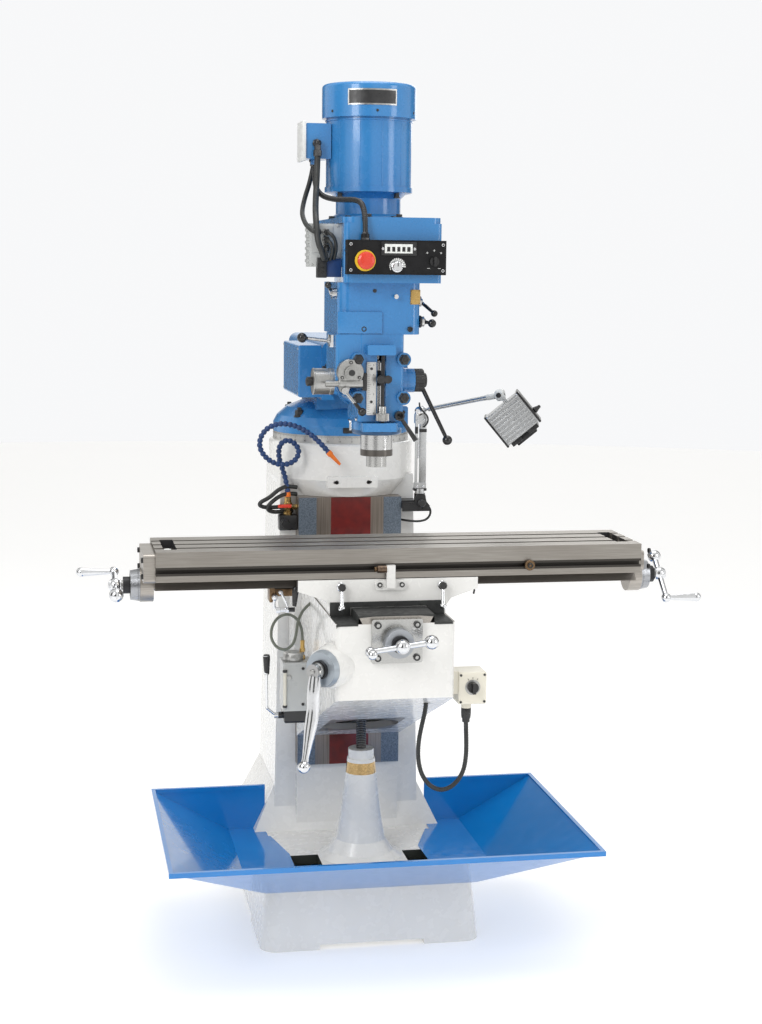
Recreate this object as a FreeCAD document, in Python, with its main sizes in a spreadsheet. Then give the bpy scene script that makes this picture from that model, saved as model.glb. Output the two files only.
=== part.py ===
import FreeCAD, Part
import math
import os
import Sketcher
from FreeCAD import Placement, Rotation, Vector

# A knee-type vertical milling machine with a swivelling turret and ram.
# Origin: centre of the base footprint on the floor. +X is the operator's right,
# -Y faces the operator and +Z is up. All lengths are millimetres.

doc = FreeCAD.newDocument("vertical_milling_machine")
sheet = doc.addObject("Spreadsheet::Sheet", "dim")

DIMENSIONS = {
    "base_width": 610,
    "base_length": 890,
    "base_height": 200,
    "base_draft": 20,
    "base_corner": 45,
    "column_width": 390,
    "column_back": 360,
    "column_shoulder": 30,
    "ways_width": 300,
    "ways_face": -26,
    "ways_bottom": 400,
    "ways_top": 1190,
    "collar_radius": 212,
    "collar_top": 1345,
    "turret_axis": 156,
    "turret_radius": 200,
    "turret_bottom": 1368.3,
    "turret_top": 1462,
    "tray_width": 1134,
    "tray_front": -712,
    "tray_rear": 27,
    "tray_top": 327,
    "tray_bottom": 165,
    "tray_sheet": 4,
    "spindle_axis": -430,
    "lift_axis": -240,
    "lift_radius": 14,
    "pedestal_top": 482,
    "running_gap": 0.05,
    "free_gap": 0.4,
    "knee_width": 306,
    "knee_front": -730,
    "knee_top": 960,
    "knee_chin": 765,
    "knee_heel": 490,
    "knee_wall": 25,
    "knee_way_height": 20,
    "saddle_width": 470,
    "saddle_front": -622,
    "saddle_rear": -330,
    "saddle_top": 1055,
    "cross_screw_height": 917,
    "cross_screw_radius": 12,
    "table_length": 1270,
    "table_width": 254,
    "table_offset": 41,
    "table_axis": -495,
    "table_top": 1134,
    "table_bottom": 1057,
    "table_screw_height": 1031,
    "table_screw_radius": 12,
    "table_thread_radius": 16,
    "slot_throat": 16,
    "slot_head": 29,
    "slot_pitch": 64,
    "ram_width": 190,
    "ram_bottom": 1475,
    "ram_top": 1640,
    "ram_front": -90,
    "ram_rear": 600,
    "tilt_height": 1561,
    "nod_axis": -180,
    "adapter_radius": 100,
    "quill_radius": 42.85,
    "quill_bottom": 1354,
    "quill_top": 1600,
    "nose_height": 1324,
    "head_front": -492,
    "head_rear": -320.4,
    "head_seam": 1674,
    "gear_top": 1807,
    "belt_top": 1973,
    "motor_offset": 10,
    "motor_axis": -215,
    "motor_radius": 118.5,
    "motor_cap_radius": 127,
    "motor_top": 2331,
    "knee_crank_height": 848,
}

sheet.set("A1", "name")
sheet.set("B1", "millimetres")
for row, (alias, amount) in enumerate(DIMENSIONS.items(), start=2):
    sheet.set(f"A{row}", alias)
    sheet.set(f"B{row}", str(amount))
    sheet.setAlias(f"B{row}", alias)
doc.recompute()


class Size(float):
    """A length that remembers the sheet formula it came from."""

    def __new__(cls, number, formula):
        size = float.__new__(cls, number)
        size.formula = formula
        return size

    def __add__(self, other):
        return joined(self, "+", other, float(self) + float(other))

    def __radd__(self, other):
        return joined(other, "+", self, float(other) + float(self))

    def __sub__(self, other):
        return joined(self, "-", other, float(self) - float(other))

    def __rsub__(self, other):
        return joined(other, "-", self, float(other) - float(self))

    def __mul__(self, other):
        return joined(self, "*", other, float(self) * float(other))

    def __rmul__(self, other):
        return joined(other, "*", self, float(other) * float(self))

    def __truediv__(self, other):
        return joined(self, "/", other, float(self) / float(other))

    def __neg__(self):
        return joined(0, "-", self, -float(self))


def formula_of(number):
    return number.formula if isinstance(number, Size) else repr(float(number))


def joined(left, sign, right, number):
    return Size(number, f"({formula_of(left)} {sign} {formula_of(right)})")


class Dimensions:
    """The sheet's cells, read by name."""

    def __getattr__(self, alias):
        return Size(sheet.get(alias), f"dim.{alias}")


D = Dimensions()

RIGHT = Vector(1, 0, 0)
LEFT = Vector(-1, 0, 0)
BACK = Vector(0, 1, 0)
FRONT = Vector(0, -1, 0)
UP = Vector(0, 0, 1)
DOWN = Vector(0, 0, -1)


def from_spindle(offset):
    """Y of a point, measured back from the spindle's centre line."""
    return D.spindle_axis + offset


# ---------------------------------------------------------------- primitives

def bind(thing, prop, size):
    setattr(thing, prop, float(size))
    if isinstance(size, Size):
        thing.setExpression(prop, size.formula)


def place(thing, base, rotation=None):
    thing.Placement = Placement(Vector(*[float(v) for v in base]), rotation or Rotation())
    for letter, coordinate in zip("xyz", base):
        if isinstance(coordinate, Size):
            thing.setExpression(f".Placement.Base.{letter}", coordinate.formula)
    return thing


def towards(direction):
    return Rotation(UP, direction)


def block(x, y, z):
    """A box between two limits on each axis."""
    box = doc.addObject("Part::Box", "block")
    for prop, (low, high) in zip(("Length", "Width", "Height"), (x, y, z)):
        bind(box, prop, high - low)
    return place(box, (x[0], y[0], z[0]))


def rod(radius, start, length, direction=UP):
    """A cylinder from its start point along a direction."""
    cylinder = doc.addObject("Part::Cylinder", "rod")
    bind(cylinder, "Radius", radius)
    bind(cylinder, "Height", length)
    return place(cylinder, start, towards(direction))


def taper(radius_start, radius_end, start, length, direction=UP):
    """A cone from its start point along a direction."""
    cone = doc.addObject("Part::Cone", "taper")
    bind(cone, "Radius1", radius_start)
    bind(cone, "Radius2", radius_end)
    bind(cone, "Height", length)
    return place(cone, start, towards(direction))


def ball(radius, centre, pole=UP, seam=RIGHT):
    """A sphere; its pole and seam are turned away from whatever joins it."""
    sphere = doc.addObject("Part::Sphere", "ball")
    bind(sphere, "Radius", radius)
    return place(sphere, centre, Rotation(seam, Vector(), pole, "ZXY"))


def between(radius_start, radius_end, start, end):
    """A rod or taper that joins two points."""
    run = Vector(*[float(v) for v in end]) - Vector(*[float(v) for v in start])
    if abs(radius_start - radius_end) < 1e-6:
        return rod(radius_start, start, run.Length, run)
    return taper(radius_start, radius_end, start, run.Length, run)


def frustum(low, high, bottom, top):
    """A solid between a low and a high rectangle (x0, x1, y0, y1)."""
    wedge = doc.addObject("Part::Wedge", "frustum")
    bind(wedge, "Xmin", low[0])
    bind(wedge, "Xmax", low[1])
    bind(wedge, "Zmin", -low[3])
    bind(wedge, "Zmax", -low[2])
    bind(wedge, "X2min", high[0])
    bind(wedge, "X2max", high[1])
    bind(wedge, "Z2min", -high[3])
    bind(wedge, "Z2max", -high[2])
    bind(wedge, "Ymin", bottom)
    bind(wedge, "Ymax", top)
    wedge.Placement = Placement(Vector(), Rotation(RIGHT, 90))
    return wedge


def fused(*things):
    union = doc.addObject("Part::MultiFuse", "fused")
    union.Shapes = list(things)
    return union


def less(base, *tools):
    """The base with every tool cut out of it."""
    cut = doc.addObject("Part::Cut", "less")
    cut.Base = base
    cut.Tool = tools[0] if len(tools) == 1 else fused(*tools)
    return cut


def group(*things):
    """Separate solids that share one node."""
    compound = doc.addObject("Part::Compound", "group")
    compound.Links = list(things)
    return compound


def rounded(thing, radius, chosen):
    """Fillets the edges that the test picks."""
    doc.recompute()
    fillet = doc.addObject("Part::Fillet", "rounded")
    fillet.Base = thing
    picked = [i for i, edge in enumerate(thing.Shape.Edges, start=1) if chosen(edge)]
    fillet.Edges = [(i, float(radius), float(radius)) for i in picked]
    return fillet


def runs_along(direction, slack=0.2):
    """Picks straight edges that run along a direction, give or take the slack."""
    def chosen(edge):
        if edge.Curve.TypeId != "Part::GeomLine":
            return False
        run = edge.lastVertex().Point - edge.firstVertex().Point
        return run.Length > 1 and run.normalize().cross(direction).Length < slack
    return chosen


# ---------------------------------------------------------- sketched features

PLANES = {"xy": "XY_Plane", "xz": "XZ_Plane", "yz": "YZ_Plane"}


def sketch_on(body, plane, points):
    """A closed outline whose corners are tied to the sheet's sizes."""
    sketch = body.newObject("Sketcher::SketchObject", "outline")
    role = PLANES[plane]
    datum = [f for f in body.Origin.OriginFeatures if f.Role == role][0]
    sketch.AttachmentSupport = [(datum, "")]
    sketch.MapMode = "FlatFace"
    corners = [Vector(float(u), float(v), 0) for u, v in points]
    ends = corners[1:] + corners[:1]
    sketch.addGeometry([Part.LineSegment(a, b) for a, b in zip(corners, ends)], False)
    last = len(points) - 1
    constraints = [
        Sketcher.Constraint("Coincident", i, 1, (i - 1) % (last + 1), 2) for i in range(last + 1)
    ]
    formulas = []
    for i, point in enumerate(points):
        for kind, coordinate, axis in zip(("DistanceX", "DistanceY"), point, (-2, -1)):
            if abs(float(coordinate)) < 1e-6:
                constraints.append(Sketcher.Constraint("PointOnObject", i, 1, axis))
                continue
            if float(coordinate) > 0:
                constraints.append(Sketcher.Constraint(kind, -1, 1, i, 1, float(coordinate)))
                signed = coordinate
            else:
                constraints.append(Sketcher.Constraint(kind, i, 1, -1, 1, -float(coordinate)))
                signed = -coordinate
            if isinstance(signed, Size):
                formulas.append((len(constraints) - 1, signed.formula))
    sketch.addConstraint(constraints)
    for index, formula in formulas:
        sketch.setExpression(f"Constraints[{index}]", formula)
    return sketch


def prism(plane, points, low, high):
    """A padded outline between two limits along the plane's own axis."""
    body = doc.addObject("PartDesign::Body", "prism")
    sketch = sketch_on(body, plane, points)
    pad = body.newObject("PartDesign::Pad", "pad")
    pad.Profile = sketch
    bind(pad, "Length", high - low)
    sketch.Visibility = False
    base = {"xy": (0, 0, low), "yz": (low, 0, 0), "xz": (0, high, 0)}[plane]
    return place(body, base)


def turned(points, base, direction=UP):
    """A lathe part: (radius, height) points turned about an axis from the base point."""
    body = doc.addObject("PartDesign::Body", "turned")
    sketch = sketch_on(body, "xz", points)
    revolution = body.newObject("PartDesign::Revolution", "revolution")
    revolution.Profile = sketch
    revolution.ReferenceAxis = (sketch, ["V_Axis"])
    revolution.Angle = 360
    return place(body, base, towards(direction))


def mirrored_outline(points):
    """The right half of an outline, completed by its mirror image about X = 0."""
    return list(points) + [(-u, v) for u, v in reversed(points)]


# ------------------------------------------------------------ tubes and cords

def rounded_path(points, share=0.45):
    """Straight runs joined by tangent arcs as large as the runs allow."""
    corners = [Vector(*[float(v) for v in point]) for point in points]
    edges = []
    radii = []
    start = corners[0]
    for before, corner, after in zip(corners, corners[1:], corners[2:]):
        inward = (before - corner).normalize()
        outward = (after - corner).normalize()
        turn = math.pi - inward.getAngle(outward)
        reach = share * min((before - corner).Length, (after - corner).Length)
        radius = reach / math.tan(turn / 2)
        radii.append(radius)
        entry = corner + inward * reach
        leave = corner + outward * reach
        bisector = (inward + outward).normalize()
        middle = corner + bisector * (radius / math.cos(turn / 2) - radius)
        edges.append(Part.LineSegment(start, entry).toShape())
        edges.append(Part.Arc(entry, middle, leave).toShape())
        start = leave
    edges.append(Part.LineSegment(start, corners[-1]).toShape())
    return Part.Wire(edges), radii


def tube_shape(name, points, radius):
    """A round tube along a rounded path; prints its length, tightest arc and volume check."""
    path, radii = rounded_path(points)
    heading = path.Edges[0].tangentAt(path.Edges[0].FirstParameter)
    ring = Part.Wire(Part.makeCircle(float(radius), path.Vertexes[0].Point, heading))
    shape = path.makePipeShell([ring], True, True)
    expected = math.pi * float(radius) ** 2 * path.Length
    print(f"{name}: {path.Length:.0f} mm long, radii {[round(r) for r in radii]},"
          f" volume {shape.Volume / expected:.3f} of section x length")
    return shape


def plain(shape):
    feature = doc.addObject("Part::Feature", "plain")
    feature.Shape = shape
    return feature


NODES = {}


def node(label, thing):
    """Names a finished sub-part; its label is its file's name."""
    thing.Label = label
    NODES[label] = thing
    return thing


# ------------------------------------------------------------ base and column

def anchor_holes():
    """Clearance holes for M16 anchor bolts, through the plinth's corners."""
    return [rod(9, (x, y, -1), D.base_height + 2) for x in (-250, 250) for y in (-390, 390)]


def column_casting():
    half = D.base_width / 2
    depth = D.base_length / 2
    draft = D.base_draft
    plinth = rounded(
        frustum((-half, half, -depth, depth),
                (draft - half, half - draft, draft - depth, depth - draft), 0, D.base_height),
        D.base_corner, runs_along(UP))
    side = D.column_width / 2
    trunk = frustum((-side - 20, side + 20, D.column_shoulder - 25, D.column_back + 25),
                    (-side, side, D.column_shoulder, D.column_back), D.base_height, 1250)
    skirt = frustum((-side - 80, side + 80, -18, D.column_back + 55),
                    (-side - 18, side + 18, D.column_shoulder - 2, D.column_back + 23),
                    D.base_height, 330)
    toe = block((-D.ways_width / 2, D.ways_width / 2), (-10, D.column_shoulder + 40),
                (D.base_height, D.ways_bottom))
    ways = block((-D.ways_width / 2, D.ways_width / 2), (D.ways_face, D.column_shoulder + 40),
                 (D.ways_bottom, D.ways_top))
    neck = taper(150, D.collar_radius, (0, D.turret_axis, 1140), 100)
    collar = rounded(rod(D.collar_radius, (0, D.turret_axis, 1240), D.collar_top - 1240),
                     8, lambda edge: edge.BoundBox.ZMin > 1300)
    pad = block((-72, 72), (-64, 0), (1222, 1253))
    cavity = frustum((-190, 190, 32, 358), (-172, 172, 54, 336), 235, 1218)
    collar_cavity = rod(172, (0, D.turret_axis, 1236), 84)
    sump = [block((-225, 225), (-415, 415), (20, 172)), block((-275, 275), (-355, 355), (20, 172))]
    lift_well = rod(D.lift_radius + 8, (0, D.lift_axis, 20), D.base_height)
    drains = [block((x, x + 79), (-330, -236), (160, D.base_height + 1)) for x in (-200, 121)]
    middle_pad = rod(60, (0, 0, -2), 18)
    arches = [less(fused(block((-145, 145), (-460, 460), (-1, 14)),
                         block((-320, 320), (-190, 190), (-1, 14))), middle_pad)]
    bore = rod(60 + D.running_gap, (0, D.turret_axis, 1285), 80)
    lift_post = rod(40, (0, D.lift_axis, 14), D.base_height - 14)
    wire_holes = [rod(4, (x, -70, 1237.5), 20, BACK) for x in (-52, 52)]
    solid = fused(plinth, trunk, skirt, toe, ways, neck, collar, pad)
    hollow = less(fused(less(solid, cavity, collar_cavity, *sump, *drains), lift_post), lift_well, bore,
                  *arches, *anchor_holes(), *wire_holes)
    return node("column_casting", hollow)


def chip_tray():
    wide = D.tray_width / 2
    sheet_gap = D.tray_sheet
    narrow = D.base_width / 2 - 12
    outer = frustum((-narrow, narrow, -435, D.tray_rear), (-wide, wide, D.tray_front, D.tray_rear),
                    D.tray_bottom, D.tray_top)
    inner = frustum((4 - narrow, narrow - 4, -431, D.tray_rear - sheet_gap),
                    (sheet_gap - wide, wide - sheet_gap, D.tray_front + sheet_gap,
                     D.tray_rear - sheet_gap), D.tray_bottom + 4, D.tray_top + 0.5)
    lip = less(block((-wide - 5, wide + 5), (D.tray_front - 5, D.tray_rear + 5),
                     (D.tray_top - 8, D.tray_top + 5)),
               block((6 - wide, wide - 6), (D.tray_front + 6, D.tray_rear - 6),
                     (D.tray_top - 9, D.tray_top + 6)))
    floor_left = prism("xy", [(-349.5, -491), (-200, -491), (-200, -227), (-247, 9), (-247, 25),
                              (-349.5, 25)], D.base_height + 0.3, D.base_height + 2.3)
    floor_right = prism("xy", [(349.5, -491), (349.5, 25), (241, 25), (226, -63), (175, -205),
                               (182, -491)], D.base_height + 0.3, D.base_height + 2.3)
    hopper = less(fused(less(outer, inner), lip, floor_left, floor_right),
                  NODES["column_casting"])
    ways_gap = block((-240, 240), (-60, 60), (D.tray_bottom, D.tray_top + 10))
    cup = block((-285, 285), (-425, 30), (100, D.base_height - 0.5))
    return node("chip_tray", less(hopper, ways_gap, cup))


def screw_pedestal():
    profile = [(D.lift_radius + 8, 0), (118, 0), (92, 16), (70, 48), (58, 110), (48, 190),
               (39, D.pedestal_top - D.base_height - 2), (D.lift_radius + 8,
                                                          D.pedestal_top - D.base_height - 2)]
    cone = turned(profile, (0, D.lift_axis, D.base_height))
    nut = less(rod(36, (0, D.lift_axis, D.pedestal_top - 2), 26),
               rod(D.lift_radius + D.running_gap, (0, D.lift_axis, D.pedestal_top - 10), 40))
    return node("screw_pedestal", group(cone, nut))


def graduated_ring():
    ring = less(rod(D.turret_radius, (0, D.turret_axis, D.collar_top),
                    D.turret_bottom - D.free_gap - D.collar_top),
                rod(150, (0, D.turret_axis, D.collar_top - 1), 40))
    return node("graduated_ring", ring)


# ------------------------------------------------------------------ knee unit

def elevating_screw():
    profile = [(0, 0), (11, 0), (D.lift_radius, 4), (D.lift_radius, 556), (30, 556),
               (30, 569.6), (12, 569.6), (12, 596), (0, 596)]
    return node("elevating_screw", turned(profile, (0, D.lift_axis, 300)))


def knee_casting():
    rear = D.ways_face - D.running_gap
    half = D.knee_width / 2
    wall = D.knee_wall
    outer = rounded(
        prism("yz", [(D.knee_front, D.knee_top), (D.knee_front, D.knee_chin),
                     (rear, D.knee_heel), (rear, D.knee_top)], -half, half),
        14, lambda edge: runs_along(UP)(edge) and edge.BoundBox.YMax < -700)
    inner = prism("yz", [(D.knee_front + wall, D.knee_top - 90),
                         (D.knee_front + wall, D.knee_chin + wall),
                         (rear - wall, D.knee_heel + wall), (rear - wall, D.knee_top - 90)],
                  wall - half, half - wall)
    shoulder = D.knee_top + D.knee_way_height
    dovetail = prism("xz", mirrored_outline([(86, D.knee_top - 1), (97, shoulder)]),
                     D.knee_front, rear)
    trough = block((-34, 34), (D.knee_front + 40, rear - 12), (D.cross_screw_height - 34, 1000))
    keepers = [block((x, x + 22), (-110, 3), (560, 940)) for x in (-172.1, 150.1)]
    mouth = rod(104, (0, D.lift_axis, 400), 300)
    lift_bore = rod(12 + D.running_gap, (0, D.lift_axis, 860), 60)
    screw_bore = rod(22, (0, D.knee_front - 1, D.cross_screw_height), 60, BACK)
    spot = Vector(-163, -703, float(D.knee_crank_height))
    outward = Vector(-1, -1, 0).normalize()
    boss = taper(62, 50, spot - outward * 30, 56, outward)
    bore = rod(13 + D.running_gap, spot - outward * 60, 120, outward)
    body = fused(less(outer, inner), dovetail, less(boss, inner), *keepers)
    cable_hole = rod(11, (101, -634, 700), 80)
    knee = less(body, trough, mouth, lift_bore, screw_bore, bore, cable_hole)
    return node("knee_casting", knee)


def cross_screw_bracket():
    """The bearing plate of the cross-feed screw, with its four socket screws."""
    front = D.knee_front
    height = D.cross_screw_height
    plate = rounded(block((-65, 65), (front - 14, front), (height - 56, height + 56)),
                    5, runs_along(BACK))
    hub = rod(40, (0, front - 14, height), 12, FRONT)
    bore = rod(D.cross_screw_radius + D.running_gap, (0, front + 50, height), 100, FRONT)
    bush = rod(22, (0, front + 40, height), 42, FRONT)
    body = less(fused(plate, hub, bush), bore)
    screws = [rod(7, (x, front - 14, height + z), 6, FRONT) for x in (-50, 50) for z in (-42, 42)]
    return node("cross_screw_bracket", group(body, *screws))


def switch_box():
    """The coolant pump's switch, on a bracket at the knee's right side."""
    side = D.knee_width / 2
    y = from_spindle(-240)
    bracket = block((side, side + 16), (y - 30, y + 30), (765, 825))
    box = rounded(block((side + 16, side + 90), (y - 35, y + 40), (738, 822)), 4,
                  lambda edge: True)
    gland = rod(13, (side + 45, y, 722), 16)
    return node("switch_box", group(bracket, box, gland))


def switch_knob():
    side = D.knee_width / 2
    y = from_spindle(-275)
    dial = rod(14, (side + 53, y - D.free_gap, 783), 10, FRONT)
    bar = block((side + 49, side + 57), (y - 22, y - 8), (769, 797))
    return node("switch_knob", fused(dial, bar))


SWITCH_CABLE = [(198, -670, 722), (198, -670, 680), (200, -671, 636), (200, -672, 592),
                (193, -672, 550), (170, -671, 516), (138, -670, 502), (105, -668, 515),
                (82, -665, 549), (74, -661, 592), (77, -656, 636), (87, -649, 678),
                (98, -640, 714), (101, -634, 752)]


def switch_cable():
    return node("switch_cable", plain(tube_shape("switch_cable", SWITCH_CABLE, 6)))


def oil_pump():
    """The one-shot way lubricator on the knee's left side, with its filler cap and hoses."""
    side = -D.knee_width / 2
    y = from_spindle(150)
    tank = rounded(block((side - 78, side), (y - 30, y + 45), (636, 772)), 4, runs_along(UP))
    cap = rod(26, (side - 45, y + 4, 772), 24)
    sump = rounded(block((side - 74, side - 4), (y - 26, y + 41), (600, 636)), 8,
                   lambda edge: edge.BoundBox.ZMax < 601)
    pivot = rod(9, (side - 88, y + 4, 618), 14, RIGHT)
    fitting = rod(6, (side - 20, y + 4, 772), 55)
    loop = [(-173, -276, 827), (-175, -278, 860), (-189, -282, 890), (-216, -286, 905),
            (-244, -290, 896), (-261, -293, 870), (-263, -295, 838), (-247, -296, 812),
            (-221, -295, 804), (-200, -293, 821), (-192, -290, 850), (-188, -286, 881),
            (-175, -282, 910), (-151, -280, 932)]
    line = less(plain(tube_shape("oil hose", loop, 4)), NODES["knee_casting"])
    return node("oil_pump", group(tank, cap, sump, pivot, fitting, line))


def oil_pump_lever():
    x = -D.knee_width / 2 - 88 - D.free_gap
    y = from_spindle(154)
    hub = rod(8, (x, y, 618), 10, LEFT)
    foot = between(3.5, 3.5, (x - 5, y, 618), (x - 30, y - 4, 640))
    stem = between(3.5, 3.5, (x - 30, y - 4, 640), (x - 32, y - 10, 742))
    grip = between(7, 9, (x - 32, y - 10, 738), (x - 33, y - 13, 790))
    knuckle = ball(4.5, (x - 30, y - 4, 640))
    return node("oil_pump_lever", fused(hub, foot, stem, grip, knuckle))


def knee_crank():
    """The elevating crank: shaft and dial at 45 degrees, a hinged hub and a long handle."""
    outward = Vector(-1, -1, 0).normalize()
    spot = Vector(-163, -703, float(D.knee_crank_height))
    shaft = rod(13, spot - outward * 40, 82, outward)
    dial = taper(48, 44, spot + outward * 26.4, 16, outward)
    collar = rod(24, spot + outward * 42, 10, outward)
    hub = rod(19, spot + outward * 50, 26, outward)
    root = spot + outward * 63
    elbow = root + outward * 8 - UP * 90
    wrist = root + outward * 34 - UP * 195
    end = root + outward * 46 - UP * 236
    swell = root + outward * 14 - UP * 120
    arm = fused(between(13, 10, root, elbow), between(10, 14, elbow, swell),
                between(14, 9, swell, wrist), between(9, 6, wrist, end), ball(10, elbow),
                ball(14, swell), ball(9, wrist), ball(15, end))
    return node("knee_crank", group(fused(shaft, dial, collar), fused(hub, arm)))


def cross_screw():
    """The cross-feed screw with its graduated dial."""
    height = D.cross_screw_height
    front = D.knee_front
    screw = rod(D.cross_screw_radius, (0, front - 70, height), 660, BACK)
    dial = rod(37, (0, front - 26.4, height), 22, FRONT)
    lock_nut = rod(22, (0, front - 48.4, height), 12, FRONT)
    return node("cross_screw", fused(screw, dial, lock_nut))


def ball_crank(centre, axis, arm, reach, grip_length, near_share=0.72):
    """A ball crank: hub, two balls on an arm and a tapered grip along the axis."""
    centre = Vector(*[float(v) for v in centre])
    arm = Vector(arm).normalize()
    far = centre + arm * reach
    near = centre - arm * reach * near_share
    seam = arm.cross(axis)
    waist = far + axis * (grip_length * 0.3)
    tip = far + axis * (grip_length - 13)
    return fused(rod(15, centre - axis * 14, 28, axis), between(8, 7, near, far),
                 between(6, 8, far, waist), between(8, 12, waist, tip),
                 ball(19, centre, arm, seam), ball(18.5, near, arm, seam),
                 ball(13, far, arm, seam), ball(12.6, tip, axis, seam))


def cross_crank():
    centre = (0, D.knee_front - 82, D.cross_screw_height)
    hole = rod(D.cross_screw_radius, (0, D.knee_front - 60, D.cross_screw_height), 10.5, FRONT)
    crank = ball_crank(centre, FRONT, (-1, 0, -0.13), 82, 46, 0.9)
    return node("cross_crank", less(crank, hole))


# ------------------------------------------------------------ saddle and table

def saddle_casting():
    gap = D.running_gap
    half = D.knee_width / 2
    wing = D.saddle_width / 2
    bottom = D.knee_top + gap
    outline = mirrored_outline([(half - 3, bottom), (half - 3, bottom + 22), (half + 12, 1002),
                                (wing, 1026), (wing, D.saddle_top)])
    body = prism("xz", outline, D.saddle_front, D.saddle_rear)
    groove = prism("xz", mirrored_outline([(86 + gap, bottom - 1),
                                           (97 + gap * 2, D.knee_top + D.knee_way_height + gap)]),
                   D.saddle_front - 1, D.saddle_rear + 1)
    way = prism("yz", [(D.table_axis - 92, 1030), (D.table_axis + 92, 1030),
                       (D.table_axis + 76, D.saddle_top + 1), (D.table_axis - 76, D.saddle_top + 1)],
                -wing - 1, wing + 1)
    trough = block((-wing - 1, wing + 1), (D.table_axis - 26, D.table_axis + 26),
                   (1012, D.saddle_top + 1))
    nut = less(block((-24, 24), (D.table_axis - 26, D.table_axis + 26), (1006, 1050)),
               rod(D.table_thread_radius + gap, (-30, D.table_axis, D.table_screw_height), 60, RIGHT))
    cross_nut = less(block((-28, 28), (-540, -480), (D.cross_screw_height - 26, 985)),
                     rod(D.cross_screw_radius + gap, (0, -560, D.cross_screw_height), 100, BACK))
    face = D.saddle_front
    stop_foot = rounded(block((-38, 44), (face - 8, face), (1027, 1053)), 12, runs_along(BACK))
    stop_post = block((-9, 13), (face - 22, face - 8), (1034, 1093))
    plunger = rod(10, (-33, face - 15, 1083), 26, RIGHT)
    screws = [rod(6, (x, face - 8, 1041), 4, FRONT) for x in (-25, 33)]
    casting = fused(less(body, groove, way, trough), nut, cross_nut)
    return node("saddle_casting", group(casting, fused(stop_foot, stop_post, plunger), *screws))


def table_lock(label, x):
    """A table clamp: a stud with a short ball lever."""
    y = D.saddle_front - D.free_gap
    stud = rod(6, (x, y, 1037), 16, FRONT)
    lever = between(4, 6, (x, y - 12, 1037), (x - 2, y - 26, 990))
    knob = ball(9, (x - 2, y - 26, 985))
    cap = ball(8.5, (x, y - 14, 1037), FRONT)
    return node(label, fused(stud, lever, knob, cap))


def table_ends():
    left = D.table_offset - D.table_length / 2
    right = D.table_offset + D.table_length / 2
    return left, right


def tee_slot(y, top, along):
    """A T-slot cutter: a throat over a wider head."""
    throat = D.slot_throat / 2
    head = D.slot_head / 2
    return [block(along, (y - throat, y + throat), (top - 28, top + 1)),
            block(along, (y - head, y + head), (top - 29, top - 16))]


def table_casting():
    left, right = table_ends()
    gap = D.running_gap
    y = D.table_axis
    half = D.table_width / 2
    front = y - half
    outline = [(front, D.table_top), (front, D.table_bottom), (y - 76, D.table_bottom),
               (y - 75.5, D.saddle_top), (y - 91, 1030 + gap), (y - 27, 1030 + gap),
               (y - 27, 1068), (y + 27, 1068), (y + 27, 1030 + gap), (y + 91, 1030 + gap),
               (y + 75.5, D.saddle_top), (y + 76, D.table_bottom), (y + half, D.table_bottom),
               (y + half, D.table_top)]
    slab = prism("yz", outline, left, right)
    along = (left - 1, right + 1)
    slots = []
    for number in (-1, 0, 1):
        slots += tee_slot(y + D.slot_pitch * number, D.table_top, along)
    side_slot = [block(along, (front - 1, front + 14), (1079, 1089)),
                 block(along, (front + 8, front + 15), (1074, 1094))]
    wells = [block((x, x + 34), (y - 84, y + 84), (D.table_top - 20, D.table_top + 1))
             for x in (left + 22, right - 56)]
    return node("table_casting", less(slab, *slots, *side_slot, *wells))


def table_end_brackets():
    """The two bearing brackets that carry the table screw."""
    left, right = table_ends()
    y = D.table_axis
    height = D.table_screw_height
    brackets = []
    for x, away, front, top in ((left, LEFT, 110, 1126), (right, RIGHT, 64, 1104)):
        inner = x + away.x * 30
        low = inner if away.x < 0 else x
        plate = rounded(block((low, low + 30), (y - front, y + 90), (1052, top)), 10,
                        runs_along(RIGHT))
        hub = rod(44, (x, y, height), 34, away)
        bore = rod(D.table_screw_radius + D.running_gap, (x - 40, y, height), 80, RIGHT)
        brackets.append(less(fused(plate, hub), bore))
    return node("table_end_brackets", group(*brackets))


def table_stop_dogs():
    """The adjustable travel stop in the table's front slot."""
    front = D.table_axis - D.table_width / 2
    x = 371
    shoe = rod(13, (x, front, 1084), 12, FRONT)
    key = block((x - 12, x + 12), (front - 1, front + 7), (1080, 1088))
    screw = rod(6, (x, front - 12, 1084), 4, FRONT)
    return node("table_stop_dogs", fused(shoe, key, screw))


def table_screw():
    left, right = table_ends()
    journals = rod(D.table_screw_radius, (left - 96, D.table_axis, D.table_screw_height),
                   D.table_length + 192, RIGHT)
    thread = rod(D.table_thread_radius, (left + 2, D.table_axis, D.table_screw_height),
                 right - left - 4, RIGHT)
    return node("table_screw", fused(journals, thread))


def table_dials():
    left, right = table_ends()
    dials = []
    for x, away in ((left - 34.4, LEFT), (right + 34.4, RIGHT)):
        disc = taper(42, 38, (x, D.table_axis, D.table_screw_height), 24, away)
        lock_nut = rod(22, (x + away.x * 24, D.table_axis, D.table_screw_height), 18, away)
        shaft = rod(D.table_screw_radius, (x - 50, D.table_axis, D.table_screw_height), 100, RIGHT)
        dials.append(less(fused(disc, lock_nut), shaft))
    return node("table_dials", group(*dials))


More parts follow.
